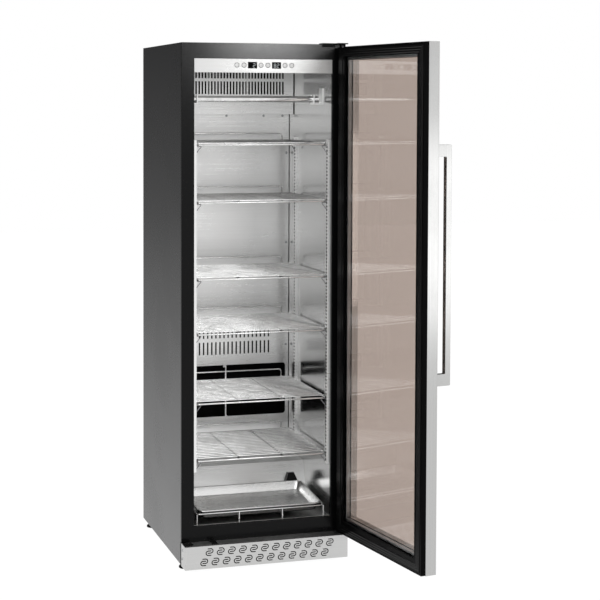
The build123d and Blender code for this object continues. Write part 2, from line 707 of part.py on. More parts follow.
def plinth_grille():
    """Folded plinth whose vents are pairs of interlocking hooks, each the other turned half round."""
    front, low, high, sheet = PLINTH_FRONT, PLINTH_LOW, PLINTH_HIGH, PLINTH_SHEET
    plinth = block(-SIDE, SIDE, front, FRONT, high - sheet, high)
    plinth += block(-SIDE, SIDE, front, front + PLINTH_LIP, low, low + sheet)
    for side in (-1, 1):
        x0, x1 = sorted((side * (SIDE - sheet), side * SIDE))
        plinth += block(x0, x1, front, FRONT, low, high)
    face = Pos(0, (low + high) / 2) * Rectangle(WIDTH, high - low)
    for first_x, z in VENT_HOOK_ROWS:
        for i in range(VENT_HOOKS_PER_ROW):
            place = Pos(first_x + i * VENT_HOOK_PITCH, z)
            face -= [place * hook(0), place * hook(180)]
    plinth += along_y(face, front, front + sheet)
    return plinth - block(260, SIDE + 1, HINGE_Y - 24, FRONT + 1, 74.8, high + 1)


def plinth_caps():
    """Black cap over the hinge seat of a door hung the other way, and a small angle on the frame."""
    outline = [(-296, -330), (-296, -372), (-279, -372), (-262, -360), (-262, -342), (-279, -330)]
    seat_cap = extrude(Plane.XY.offset(PLINTH_HIGH) * make_face(Polyline(*outline, close=True)), 1.6)
    angle = block(-197, -176, -371, FRONT, PLINTH_HIGH, PLINTH_HIGH + 1.6)
    angle += block(-197, -176, FRONT - 2.4, FRONT, PLINTH_HIGH, 90)
    return Compound([seat_cap, angle])


def hinge_top():
    """Top hinge: a plate on the casing with a leaf over the frame and the pin under it."""
    plate = block(215, 299, HINGE_Y - 12, -285, HEIGHT, HEIGHT + 4)
    plate += block(215, 262, FRONT - 3, FRONT, HEIGHT - 10, HEIGHT + 4)
    plate -= block(214, 262, HINGE_Y - 13, FRONT - 3, HEIGHT - 1, HEIGHT + 5)
    return plate + upright_cylinder(HINGE_X, HINGE_Y, 1799, HEIGHT, PIN_RADIUS)


def hinge_bottom():
    """Bottom hinge: a bracket on the cross-member with the pin that carries the door."""
    top = PLINTH_HIGH + 0.5
    bracket = block(262, 300, HINGE_Y - 20, FRONT, top - 3.5, top)
    bracket += block(262, 292, FRONT - 3.5, FRONT, 32, top)
    for z in (44, 60):
        bracket += Pos(277, FRONT - 3.5, z) * Rot(90, 0, 0) * extrude(RegularPolygon(6, 6), 4)
    return bracket + upright_cylinder(HINGE_X, HINGE_Y, top, 98, PIN_RADIUS)


def door_skin():
    """Brushed steel face of the door: a folded pan with a window and its inward returns."""
    low, high, front, back = DOOR_LOW, DOOR_HIGH, DOOR_FRONT, DOOR_SKIN_BACK
    outer = block(-SIDE, SIDE, front, back, low, high)
    outer = fillet(outer.faces().sort_by(Axis.Y)[0].edges(), 2)
    skin = outer - block(SKIN - SIDE, SIDE - SKIN, front + SKIN, back + 1, low + SKIN, high - SKIN)
    skin += ring(WINDOW_HALF + SKIN, WINDOW_LOW - SKIN, WINDOW_HIGH + SKIN, SKIN, front + SKIN / 2, -361.1)
    skin -= block(-WINDOW_HALF, WINDOW_HALF, front - 1, -361, WINDOW_LOW, WINDOW_HIGH)
    for z in (low, high):
        skin -= upright_prism(HINGE_X, HINGE_Y, z - 3, z + 3, 8.2, SMALL_ROUND_SIDES)
    return skin


def door_core():
    """Black door frame inside the steel face, rebated for the glass and bored for the bushes."""
    low, high = DOOR_LOW + SKIN, DOOR_HIGH - 3.5
    core = block(SKIN - SIDE, SIDE - SKIN, DOOR_FRONT + SKIN, DOOR_BACK, low, high)
    core = fillet(core.edges().filter_by(Axis.Y), 1.0)
    window = WINDOW_HALF + SKIN
    core -= block(-window, window, -390, -361, WINDOW_LOW - SKIN, WINDOW_HIGH + SKIN)
    margin = PANE_MARGIN + 0.5
    core -= block(-PANE_HALF - 0.5, PANE_HALF + 0.5, -361, -337, WINDOW_LOW - margin, WINDOW_HIGH + margin)
    lip = PANE_MARGIN - 3.5
    core -= block(-PANE_HALF + 3.5, PANE_HALF - 3.5, -338, -320, WINDOW_LOW - lip, WINDOW_HIGH + lip)
    core -= upright_prism(HINGE_X, HINGE_Y, low - 1, 101, BUSH_RADIUS, SMALL_ROUND_SIDES)
    core -= upright_prism(HINGE_X, HINGE_Y, 1797, high + 1, BUSH_RADIUS, SMALL_ROUND_SIDES)
    return core


def hinge_bushes():
    """Plastic bushes in the door's two ends; the lower one has the flange that the door stands on."""
    bore = PIN_RADIUS + PIN_CLEARANCE
    lower = upright_prism(HINGE_X, HINGE_Y, DOOR_LOW - 1.3, 101, BUSH_RADIUS, SMALL_ROUND_SIDES)
    lower += upright_prism(HINGE_X, HINGE_Y, DOOR_LOW - 1.3, DOOR_LOW + SKIN, 8, SMALL_ROUND_SIDES)
    lower -= upright_cylinder(HINGE_X, HINGE_Y, 70, 99, bore)
    upper = upright_prism(HINGE_X, HINGE_Y, 1797, DOOR_HIGH - 3.5, BUSH_RADIUS, SMALL_ROUND_SIDES)
    upper -= upright_cylinder(HINGE_X, HINGE_Y, 1798, 1830, bore)
    return Compound([lower, upper])


def door_gasket():
    """Ribbed magnetic gasket round the door's inner face."""
    low, high = DOOR_LOW + 10.5, DOOR_HIGH - 11.5
    gasket = ring(GASKET_OUT, low, high, GASKET_WIDE, DOOR_BACK, DOOR_BACK + GASKET_THICK)
    for inset in (6, 15):
        groove = ring(GASKET_OUT - inset, low + inset, high - inset, 3, DOOR_BACK + 1.5, DOOR_BACK + 5)
        gasket -= groove
    return gasket


def pane(y0, y1):
    margin = PANE_MARGIN
    return block(-PANE_HALF, PANE_HALF, y0, y1, WINDOW_LOW - margin, WINDOW_HIGH + margin)


def glass_spacer():
    """Aluminium bar that holds the two panes apart, round their edge."""
    margin = PANE_MARGIN - 5.5
    return ring(PANE_HALF - 5.5, WINDOW_LOW - margin, WINDOW_HIGH + margin, 8, -354.9, -341.1)


def handle():
    """Square bar handle with solid ends that return to the door."""
    low, high = HANDLE_Z
    grip = along_x([(DOOR_FRONT, low), (HANDLE_FRONT, low), (HANDLE_FRONT, high), (DOOR_FRONT, high)], *HANDLE_X)
    grip = fillet(grip.edges().filter_by(Axis.X).group_by(Axis.Y)[0], 4)
    gap = block(HANDLE_X[0] - 1, HANDLE_X[1] + 1, HANDLE_GAP_BACK, DOOR_FRONT + 1, low + HANDLE_END, high - HANDLE_END)
    gap = fillet(gap.edges().filter_by(Axis.X).group_by(Axis.Y)[0], 3)
    grip -= gap
    for z in (low + HANDLE_END / 2, high - HANDLE_END / 2):
        hole = Pos(sum(HANDLE_X) / 2, DOOR_FRONT + 1, z) * Rot(90, 0, 0)
        grip -= hole * extrude(RegularPolygon(3.1, SMALL_ROUND_SIDES), 13)
    return grip


def handle_screws():
    """Bolts through the steel face into the handle's two ends, heads inside the door."""
    screws = []
    for z in (HANDLE_Z[0] + HANDLE_END / 2, HANDLE_Z[1] - HANDLE_END / 2):
        place = Pos(sum(HANDLE_X) / 2, DOOR_FRONT + SKIN, z) * Rot(-90, 0, 0)
        shank = upright_prism(0, 0, -12, 0, 3, SMALL_ROUND_SIDES)
        screws.append(place * (shank + extrude(RegularPolygon(6, 6), 4)))
    return Compound(screws)


def cut_for_handle_screws(skin, core):
    """Bolt holes in the steel face and head pockets in the core."""
    for z in (HANDLE_Z[0] + HANDLE_END / 2, HANDLE_Z[1] - HANDLE_END / 2):
        place = Pos(sum(HANDLE_X) / 2, DOOR_FRONT + 3, z) * Rot(90, 0, 0)
        skin -= place * extrude(RegularPolygon(3.1, SMALL_ROUND_SIDES), 6)
        pocket_y = DOOR_FRONT + SKIN
        core -= block(-281, -266, pocket_y - 1, pocket_y + 5, z - 7, z + 7)
    return skin, core


def fan_place(centre, axis_rotation):
    return Pos(*centre) * axis_rotation


parts = {}
parts["side_panel_left"] = side_panel(-1)
parts["side_panel_right"] = side_panel(1)
parts["top_panel"] = top_panel()
parts["back_panel"] = back_panel()
parts["base_pan"] = base_pan()
parts["front_beam"] = front_beam()
parts["insulation"] = insulation()
parts["face_frame"] = face_frame()
parts["liner_left"] = liner_side(-1)
parts["liner_right"] = liner_side(1)
parts["liner_floor"] = liner_floor()
parts["liner_back"] = liner_back()
parts["rear_panel"] = rear_panel()
parts["filter_left"] = filter_panel(-1)
parts["filter_right"] = filter_panel(1)
parts["duct_cover"] = duct_cover()
parts["evaporator"] = evaporator()

evaporator_fan_place = fan_place((0, PANEL_Y - 14, EVAPORATOR_FAN_Z), Rot(90, 0, 0))
condenser_fan_place = fan_place((-118, 190, 98), Rot(0, 90, 0))
parts["evaporator_fan_frame"] = evaporator_fan_place * fan_frame(140, 28)
parts["evaporator_fan"] = evaporator_fan_place * fan_rotor(140, 28)
parts["condenser_fan_frame"] = condenser_fan_place * fan_frame(190, 28)
parts["condenser_fan"] = condenser_fan_place * fan_rotor(190, 28)
parts["compressor"] = compressor(165, 200)
parts["condenser"] = condenser()
parts["levelling_feet"] = levelling_feet()
parts["power_inlet"] = power_inlet()

parts["shelf_standards"] = shelf_standards()
parts["shelf_clips"] = shelf_clips()
for number, height in enumerate(SHELF_HEIGHTS, 1):
    parts[f"shelf_{number}"] = shelf(height)
parts["rod_brackets"] = rod_brackets()
parts["hanging_rod"] = hanging_rod()
parts["tray_rack"] = tray_rack()
parts["drip_tray"] = drip_tray()
parts["sensor_cover"] = sensor_cover()
parts["sheet_screws"] = sheet_screws()

parts["fascia"] = fascia()
parts["display_board"] = display_board()
for number, x in enumerate(BUTTON_X, 1):
    parts[f"button_{number}"] = button(x)

parts["plinth_grille"] = plinth_grille()
parts["plinth_caps"] = plinth_caps()
parts["hinge_top"] = hinge_top()
parts["hinge_bottom"] = hinge_bottom()

skin, core = cut_for_handle_screws(door_skin(), door_core())
parts["door_skin"] = open_door(skin)
parts["door_core"] = open_door(core)
parts["hinge_bushes"] = open_door(hinge_bushes())
parts["door_gasket"] = open_door(door_gasket())
parts["glass_outer"] = open_door(pane(-360.9, -354.9))
parts["glass_inner"] = open_door(pane(-341.1, -337.1))
parts["glass_spacer"] = open_door(glass_spacer())
parts["handle"] = open_door(handle())
parts["handle_screws"] = open_door(handle_screws())

holes = screw_holes()
for name in ("rear_panel", "liner_back", "plinth_grille", "front_beam"):
    parts[name] -= holes

os.makedirs("parts", exist_ok=True)
for name, shape in parts.items():
    export_step(shape, f"parts/{name}.step")
print(len(parts), "nodes written")
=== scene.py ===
# %% [markdown]
# # A dry aging cabinet with its glass door open
#
# The cabinet is a tall refrigerator for hanging and laying meat to age. Its casing and front
# frame are black powder-coated steel, its inside is brushed stainless sheet, and its door is a
# tinted double pane in a steel face. The solids arrive at their real size and place, so this
# lesson is about finish: rounding the edges that catch light, bending real wires for the shelves
# and giving every metal its grain. Everything is in metres, X across, Y to the back and Z up.

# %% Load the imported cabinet
import bpy
import bmesh
import json
import math
from mathutils import Matrix, Vector


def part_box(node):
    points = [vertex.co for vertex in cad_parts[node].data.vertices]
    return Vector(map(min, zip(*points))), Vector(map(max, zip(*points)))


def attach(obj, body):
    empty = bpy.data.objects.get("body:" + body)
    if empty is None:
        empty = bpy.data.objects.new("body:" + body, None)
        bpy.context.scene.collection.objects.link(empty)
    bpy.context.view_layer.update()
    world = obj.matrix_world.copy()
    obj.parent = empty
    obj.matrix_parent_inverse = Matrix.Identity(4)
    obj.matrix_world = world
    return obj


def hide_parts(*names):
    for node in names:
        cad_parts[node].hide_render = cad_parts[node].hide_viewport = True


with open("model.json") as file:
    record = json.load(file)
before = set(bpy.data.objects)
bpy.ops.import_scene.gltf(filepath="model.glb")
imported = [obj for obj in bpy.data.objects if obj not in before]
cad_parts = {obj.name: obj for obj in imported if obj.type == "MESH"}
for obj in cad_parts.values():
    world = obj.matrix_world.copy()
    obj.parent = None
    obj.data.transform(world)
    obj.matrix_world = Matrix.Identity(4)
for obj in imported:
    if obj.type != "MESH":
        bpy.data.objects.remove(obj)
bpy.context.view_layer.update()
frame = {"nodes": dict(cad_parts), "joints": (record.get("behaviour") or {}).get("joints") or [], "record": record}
NODES = frame["nodes"]
BODY_OF = {node: body for body, nodes in frame["record"]["behaviour"]["bodies"].items() for node in nodes}

# %% [markdown]
# ## The camera
#
# The photograph was taken from the left and a little above the middle of the cabinet, with a long
# lens. A camera can be set by eye with angles, but it is more exact to write down where it stands
# and how far it turns, tips and rolls, and to build its matrix from those. The shift slides the
# picture without tilting the uprights.

# %% Set the camera where the photographer stood
CAMERA_PLACE = Vector((-1.51634, -5.57471, 1.61821))
CAMERA_TURN = math.radians(17.0)
CAMERA_TIP = math.radians(2.4189)
CAMERA_ROLL = math.radians(0.1944)
FOCAL_PIXELS = 1554.47
PICTURE_PIXELS = 600
AXIS_PIXEL = (288.08, 168.43)
SENSOR = 36.0


def camera_matrix():
    """The camera's place and turn as one matrix."""
    level_share = math.cos(CAMERA_TIP)
    ahead = Vector((math.sin(CAMERA_TURN) * level_share, math.cos(CAMERA_TURN) * level_share,
                    -math.sin(CAMERA_TIP)))
    level = Vector((math.cos(CAMERA_TURN), -math.sin(CAMERA_TURN), 0))
    above = level.cross(ahead)
    right = level * math.cos(CAMERA_ROLL) + above * math.sin(CAMERA_ROLL)
    up = above * math.cos(CAMERA_ROLL) - level * math.sin(CAMERA_ROLL)
    turn = Matrix((right, up, -ahead)).transposed().to_4x4()
    return Matrix.Translation(CAMERA_PLACE) @ turn


lens = bpy.data.cameras.new("camera")
lens.sensor_width = SENSOR
lens.lens = FOCAL_PIXELS * SENSOR / PICTURE_PIXELS
lens.shift_x = 0.5 - AXIS_PIXEL[0] / PICTURE_PIXELS
lens.shift_y = AXIS_PIXEL[1] / PICTURE_PIXELS - 0.5
camera = bpy.data.objects.new("camera", lens)
camera.matrix_world = camera_matrix()
bpy.context.scene.collection.objects.link(camera)
bpy.context.scene.camera = camera
bpy.context.scene.view_settings.view_transform = "Standard"
print("lens", round(lens.lens, 2), "shift", round(lens.shift_x, 4), round(lens.shift_y, 4))

# %% [markdown]
# ## A short way to write shader nodes
#
# A material is a small circuit. Adding each node by hand takes many lines, so one helper adds a
# node, sets its properties and feeds its inputs: a value goes on the socket, and another node's
# output is linked to it.

# %% Helpers for node trees
def feed(tree, socket, source):
    """Link an output to a socket, or set the socket's own value."""
    if isinstance(source, bpy.types.NodeSocket):
        tree.links.new(source, socket)
    else:
        socket.default_value = source


def add(tree, kind, inputs=None, **settings):
    """Add a node, set its properties and feed its inputs by name or index."""
    node = tree.nodes.new(kind)
    for key, value in settings.items():
        setattr(node, key, value)
    for key, source in (inputs or {}).items():
        feed(tree, node.inputs[key], source)
    return node


def maths(tree, operation, *values):
    """A Math node's result."""
    return add(tree, "ShaderNodeMath", dict(enumerate(values)), operation=operation).outputs[0]


def remap(tree, value, low, high, to_low, to_high):
    """Value from one range carried to another, clamped."""
    inputs = {"Value": value, "From Min": low, "From Max": high, "To Min": to_low, "To Max": to_high}
    return add(tree, "ShaderNodeMapRange", inputs).outputs["Result"]


def here(tree):
    """Coordinates that stay with the object."""
    return add(tree, "ShaderNodeTexCoord").outputs["Object"]


def noise(tree, place, scale, detail=2.0, **inputs):
    """A noise texture's value."""
    inputs = {"Vector": place, "Scale": scale, "Detail": detail, **inputs}
    return add(tree, "ShaderNodeTexNoise", inputs).outputs[0]


def blend_colours(tree, amount, first, second):
    """Mix two colours by a mask."""
    mix = add(tree, "ShaderNodeMix", data_type="RGBA")
    feed(tree, mix.inputs[0], amount)
    feed(tree, mix.inputs[6], first)
    feed(tree, mix.inputs[7], second)
    return mix.outputs[2]


def new_group(name, inputs, outputs):
    """Empty shader group with named sockets. Returns its tree, inputs' node and outputs' node."""
    tree = bpy.data.node_groups.new(name, "ShaderNodeTree")
    for socket, kind, default in inputs:
        made = tree.interface.new_socket(socket, in_out="INPUT", socket_type=kind)
        made.default_value = default
    for socket, kind in outputs:
        tree.interface.new_socket(socket, in_out="OUTPUT", socket_type=kind)
    return tree, tree.nodes.new("NodeGroupInput"), tree.nodes.new("NodeGroupOutput")


def use(tree, group, **inputs):
    """Place a group in a material with its own values."""
    node = tree.nodes.new("ShaderNodeGroup")
    node.node_tree = group
    for key, source in inputs.items():
        feed(tree, node.inputs[key.replace("_", " ")], source)
    return node.outputs


print("helpers ready")

# %% [markdown]
# ## Brushed grain
#
# Stainless sheet is brushed with a belt, which leaves long fine scratches in one direction. A
# noise texture does this when its coordinates are squeezed along the grain and stretched across
# it. Two noises are used, fine scratches and broad bands, because one alone looks like cloth. The
# group puts out the streaks as a tone for colour and roughness, and as a height for a bump.

# %% Group: brushed grain
def brushed_grain_group():
    """Long fine scratches and broad bands."""
    tree, given, made = new_group(
        "Brushed grain",
        [("Stretch", "NodeSocketVector", (2.0, 400.0, 400.0)), ("Band size", "NodeSocketFloat", 0.05)],
        [("Streaks", "NodeSocketFloat"), ("Bands", "NodeSocketFloat"), ("Height", "NodeSocketFloat")])
    squeezed = add(tree, "ShaderNodeVectorMath", {0: here(tree), 1: given.outputs["Stretch"]},
                   operation="MULTIPLY").outputs[0]
    fine = noise(tree, squeezed, 1.0, 4.0, Roughness=0.65)
    broad_place = add(tree, "ShaderNodeVectorMath", {0: squeezed, "Scale": given.outputs["Band size"]},
                      operation="SCALE").outputs[0]
    broad = noise(tree, broad_place, 1.0)
    feed(tree, made.inputs["Streaks"], remap(tree, fine, 0.3, 0.7, 0.0, 1.0))
    feed(tree, made.inputs["Bands"], remap(tree, broad, 0.35, 0.65, 0.0, 1.0))
    feed(tree, made.inputs["Height"], fine)
    return tree


BRUSHED_GRAIN = brushed_grain_group()
print("group", BRUSHED_GRAIN.name)

# %% [markdown]
# ## Handling marks
#
# No steel stays evenly shiny: wiping and fingers leave soft cloudy patches that are a little
# duller. A low noise shaped by a ramp gives the patches, and a second, finer one breaks up their
# edges. It is a mask only, so that each finish decides how much duller the patch is.

# %% Group: handling marks
def handling_group():
    """Cloudy patches with broken edges."""
    tree, given, made = new_group(
        "Handling marks",
        [("Patch size", "NodeSocketFloat", 4.0), ("Break up", "NodeSocketFloat", 0.3)],
        [("Mask", "NodeSocketFloat")])
    place = here(tree)
    cloud = noise(tree, place, given.outputs["Patch size"], 3.0, Distortion=0.6)
    fine = noise(tree, place, 60.0, 3.0)
    broken = maths(tree, "MULTIPLY", maths(tree, "SUBTRACT", fine, 0.5), given.outputs["Break up"])
    feed(tree, made.inputs["Mask"], remap(tree, maths(tree, "ADD", cloud, broken), 0.42, 0.66, 0.0, 1.0))
    return tree


HANDLING_MARKS = handling_group()
print("group", HANDLING_MARKS.name)

# %% [markdown]
# ## Powder coat
#
# Powder paint melts into a skin with a faint orange peel, and carries a fine sparkle of lighter
# and darker specks. The peel is a height for a bump, and the specks are a tone for the colour.

# %% Group: powder coat
def powder_coat_group():
    """Orange peel and specks."""
    tree, given, made = new_group(
        "Powder coat",
        [("Peel scale", "NodeSocketFloat", 900.0), ("Speck scale", "NodeSocketFloat", 2200.0)],
        [("Peel", "NodeSocketFloat"), ("Specks", "NodeSocketFloat")])
    place = here(tree)
    peel = noise(tree, place, given.outputs["Peel scale"], 1.0)
    speck = add(tree, "ShaderNodeTexVoronoi", {"Vector": place, "Scale": given.outputs["Speck scale"]},
                feature="F1").outputs["Distance"]
    feed(tree, made.inputs["Peel"], peel)
    feed(tree, made.inputs["Specks"], remap(tree, speck, 0.1, 0.8, 0.0, 1.0))
    return tree


POWDER_COAT = powder_coat_group()
print("group", POWDER_COAT.name)

# %% [markdown]
# ## Worn edges and dust
#
# Edges are rubbed bright by use, and flat tops hold a little dust. The shader can find an edge by
# comparing the surface's normal with one that has been rounded over a small radius: where they
# differ, there is an edge. Dust goes where the normal points up, broken by a noise.

# %% Groups: edge wear and dust
def edge_wear_group():
    """Mask of the edges where they are rubbed."""
    tree, given, made = new_group(
        "Edge wear",
        [("Radius", "NodeSocketFloat", 0.0012), ("Break up", "NodeSocketFloat", 0.5)],
        [("Mask", "NodeSocketFloat")])
    rounded = add(tree, "ShaderNodeBevel", {"Radius": given.outputs["Radius"]}, samples=4).outputs[0]
    true = add(tree, "ShaderNodeNewGeometry").outputs["Normal"]
    agree = add(tree, "ShaderNodeVectorMath", {0: rounded, 1: true},
                operation="DOT_PRODUCT").outputs["Value"]
    edge = remap(tree, agree, 0.9, 0.995, 1.0, 0.0)
    patchy = remap(tree, noise(tree, here(tree), 35.0, 4.0), given.outputs["Break up"], 0.75, 0.0, 1.0)
    feed(tree, made.inputs["Mask"], maths(tree, "MULTIPLY", edge, patchy))
    return tree


def dust_group():
    """Mask of the dust on what faces up."""
    tree, given, made = new_group(
        "Dust",
        [("Amount", "NodeSocketFloat", 0.2)],
        [("Mask", "NodeSocketFloat")])
    true = add(tree, "ShaderNodeNewGeometry").outputs["Normal"]
    upward = add(tree, "ShaderNodeSeparateXYZ", {0: true}).outputs["Z"]
    level = remap(tree, upward, 0.7, 1.0, 0.0, 1.0)
    drift = remap(tree, noise(tree, here(tree), 18.0, 6.0), 0.4, 0.7, 0.2, 1.0)
    lying = maths(tree, "MULTIPLY", level, drift)
    feed(tree, made.inputs["Mask"], maths(tree, "MULTIPLY", lying, given.outputs["Amount"]))
    return tree


EDGE_WEAR = edge_wear_group()
DUST = dust_group()
print("groups", EDGE_WEAR.name, "and", DUST.name)

# %% [markdown]
# ## Stainless sheet
#
# All the bright sheet is one metal, but its grain runs along each sheet's long side: across the
# back and the plinth, along the depth on the side walls, and up and down on the door. So one
# function makes the metal and takes the grain's direction, its colour and how dull it is. The
# roughness follows the streaks, which spreads highlights across the grain as the real sheet does.

# %% Make the brushed steels
GRAIN_ALONG = {"X": (3.0, 900.0, 900.0), "Y": (900.0, 3.0, 900.0), "Z": (900.0, 900.0, 3.0)}
GRAIN_CONTRAST = 0.92


def new_material(name):
    """Material with an empty Principled shader. Returns the material, its tree and the shader."""
    material = bpy.data.materials.new(name)
    material.use_nodes = True
    tree = material.node_tree
    return material, tree, tree.nodes["Principled BSDF"]


def bump(tree, height, strength, distance):
    """Normal from a height."""
    inputs = {"Height": height, "Strength": strength, "Distance": distance}
    return add(tree, "ShaderNodeBump", inputs).outputs["Normal"]


def brushed_steel(name, along, tone, dull, clean, relief=0.12):
    """Brushed sheet. dull and clean are its roughness in the pits and on the ridges of the grain."""
    material, tree, shader = new_material(name)
    grain = use(tree, BRUSHED_GRAIN, Stretch=GRAIN_ALONG[along])
    marks = use(tree, HANDLING_MARKS, Patch_size=3.0)
    dark = [channel * GRAIN_CONTRAST for channel in tone] + [1]
    streaked = blend_colours(tree, grain["Streaks"], dark, [*tone, 1])
    banded = blend_colours(tree, maths(tree, "MULTIPLY", grain["Bands"], 0.25), streaked, dark)
    feed(tree, shader.inputs["Base Color"], banded)
    rough = remap(tree, grain["Streaks"], 0.0, 1.0, dull, clean)
    rough = maths(tree, "ADD", rough, maths(tree, "MULTIPLY", marks["Mask"], 0.05))
    feed(tree, shader.inputs["Roughness"], rough)
    shader.inputs["Metallic"].default_value = 1.0
    feed(tree, shader.inputs["Normal"], bump(tree, grain["Height"], relief, 0.0004))
    return material


LINER_STEEL = (0.90, 0.90, 0.895)
FACE_STEEL = (0.62, 0.62, 0.615)
liner_across = brushed_steel("liner_across", "X", LINER_STEEL, 0.33, 0.25, relief=0.02)
# Painted shade: the side walls take the liner's steel in a darker tone than the back, for the lesser light on
# them.
liner_side_shade = brushed_steel("liner_side_shade", "Y", (0.48, 0.48, 0.477), 0.19, 0.12, relief=0.01)
floor_steel = brushed_steel("floor_steel", "X", (0.66, 0.66, 0.655), 0.33, 0.25, relief=0.02)
plinth_steel = brushed_steel("plinth_steel", "X", FACE_STEEL, 0.42, 0.28)
door_steel = brushed_steel("door_steel", "Z", (0.54, 0.54, 0.535), 0.22, 0.15, relief=0.04)
strip_steel = brushed_steel("strip_steel", "X", (0.56, 0.56, 0.555), 0.32, 0.24, relief=0.05)
tray_steel = brushed_steel("tray_steel", "X", (0.90, 0.90, 0.895), 0.30, 0.22, relief=0.01)
# Painted shade: a dark copy of the tray's steel for its underside.
tray_underside_shade = brushed_steel("tray_underside_shade", "X", (0.16, 0.16, 0.158), 0.30, 0.20)
print("steels made")

# %% [markdown]
# ## Black paint and black plastic
#
# The casing is powder-coated, the door's inner frame and the filters are moulded plastic. Both are
# nearly black, so what the eye sees is their sheen: the side panels are glossy and mirror the pale
# floor, and the plastic hardly mirrors at all. The paint gets a slight peel, specks, dust on flat
# tops and edges rubbed a little lighter. How strongly a finish mirrors is set on the shader itself.

# %% Make the blacks
RUBBED_EDGE = [0.10, 0.10, 0.104, 1]
PALE_DUST = [0.42, 0.41, 0.39, 1]


def black_coat(name, colour, roughness, peel_strength, mirror, worn=0.3):
    """Black finish. mirror is how strongly it reflects, 0.5 for plain gloss."""
    material, tree, shader = new_material(name)
    skin = use(tree, POWDER_COAT)
    marks = use(tree, HANDLING_MARKS, Patch_size=2.2)
    wear = use(tree, EDGE_WEAR)
    dust = use(tree, DUST, Amount=0.05)
    lighter = [channel * 1.5 for channel in colour] + [1]
    speckled = blend_colours(tree, maths(tree, "MULTIPLY", skin["Specks"], 0.4), [*colour, 1], lighter)
    rubbed = blend_colours(tree, maths(tree, "MULTIPLY", wear["Mask"], worn), speckled, RUBBED_EDGE)
    feed(tree, shader.inputs["Base Color"], blend_colours(tree, dust["Mask"], rubbed, PALE_DUST))
    feed(tree, shader.inputs["Roughness"],
         maths(tree, "ADD", roughness, maths(tree, "MULTIPLY", marks["Mask"], 0.03)))
    shader.inputs["Specular IOR Level"].default_value = mirror
    feed(tree, shader.inputs["Normal"], bump(tree, skin["Peel"], peel_strength, 0.0003))
    return material


side_paint = black_coat("side_paint", (0.008, 0.008, 0.009), 0.26, 0.012, 0.5)
frame_black = black_coat("frame_black", (0.0025, 0.0025, 0.0027), 0.15, 0.012, 0.13, worn=0.1)
black_enamel = black_coat("black_enamel", (0.012, 0.012, 0.013), 0.2, 0.05, 0.4)
black_plastic = black_coat("black_plastic", (0.0020, 0.0020, 0.0021), 0.24, 0.03, 0.035, worn=0.02)
# Painted shade: a matt black for faces and sheets that stand in shade, behind slots and inside the plinth.
painted_shade = black_coat("painted_shade", (0.0025, 0.0025, 0.0026), 0.6, 0.05, 0.03, worn=0.0)
print("blacks made")

# %% [markdown]
# ## Wire, screws, glass and the rest
#
# The shelves are bright plated wire: almost a mirror, with a slight ripple left by drawing. The
# glass is tinted warm in the outer pane and almost clear in the inner one. A pane is a closed slab,
# and light takes half of its tint at each face, so what comes through carries the colour once. The
# smaller finishes follow.

# %% Make the wire, the fasteners and the plain metals
def plated(name, tone, roughness, ripple=0.05):
    """Plated or plain metal with a ripple and dull patches."""
    material, tree, shader = new_material(name)
    drawn = noise(tree, here(tree), 160.0)
    marks = use(tree, HANDLING_MARKS, Patch_size=12.0)
    dull = [channel * 0.82 for channel in tone] + [1]
    feed(tree, shader.inputs["Base Color"], blend_colours(tree, marks["Mask"], [*tone, 1], dull))
    feed(tree, shader.inputs["Roughness"],
         maths(tree, "ADD", roughness, maths(tree, "MULTIPLY", marks["Mask"], 0.06)))
    shader.inputs["Metallic"].default_value = 1.0
    feed(tree, shader.inputs["Normal"], bump(tree, drawn, ripple, 0.0004))
    return material


bright_wire = plated("bright_wire", (0.84, 0.84, 0.835), 0.12, ripple=0.01)
clip_wire = plated("clip_wire", (0.30, 0.30, 0.31), 0.20)
# Painted shade: a dark copy of the shelf wire for the cross bars under the decks.
cross_bar_shade_wire = plated("cross_bar_shade_wire", (0.12, 0.12, 0.12), 0.30)
zinc = plated("zinc", (0.46, 0.47, 0.48), 0.30, ripple=0.12)
aluminium = plated("aluminium", (0.80, 0.80, 0.80), 0.28)
spacer_bar = plated("spacer_bar", (0.33, 0.335, 0.34), 0.30)
spangled_sheet = plated("spangled_sheet", (0.50, 0.51, 0.52), 0.42, ripple=0.2)
print("plain metals made")

# %% Make the glass
def glass(name, colour, marks_roughness):
    """Clear or tinted glass, a little dull where it was wiped."""
    material, tree, shader = new_material(name)
    marks = use(tree, HANDLING_MARKS, Patch_size=5.0)
    shader.inputs["Base Color"].default_value = [*colour, 1]
    feed(tree, shader.inputs["Roughness"], maths(tree, "MULTIPLY", marks["Mask"], marks_roughness))
    shader.inputs["Transmission Weight"].default_value = 1.0
    shader.inputs["IOR"].default_value = 1.22
    return material


tinted_glass = glass("tinted_glass", (0.467, 0.380, 0.337), 0.02)
clear_glass = glass("clear_glass", (0.965, 0.975, 0.97), 0.02)
print("glass made")

# %% Make the rubber, nylon, foam and display finishes
def moulded(name, colour, roughness, grain_scale=700.0, strength=0.1, mirror=0.5):
    """Plastic, rubber or foam with a fine grain. mirror is how strongly it reflects."""
    material, tree, shader = new_material(name)
    grain = noise(tree, here(tree), grain_scale, 3.0)
    marks = use(tree, HANDLING_MARKS, Patch_size=8.0)
    paler = [min(1, channel * 1.25) for channel in colour] + [1]
    feed(tree, shader.inputs["Base Color"], blend_colours(tree, marks["Mask"], [*colour, 1], paler))
    feed(tree, shader.inputs["Roughness"], remap(tree, grain, 0.3, 0.7, roughness - 0.05, roughness + 0.05))
    feed(tree, shader.inputs["Normal"], bump(tree, grain, strength, 0.0004))
    shader.inputs["Specular IOR Level"].default_value = mirror
    return material


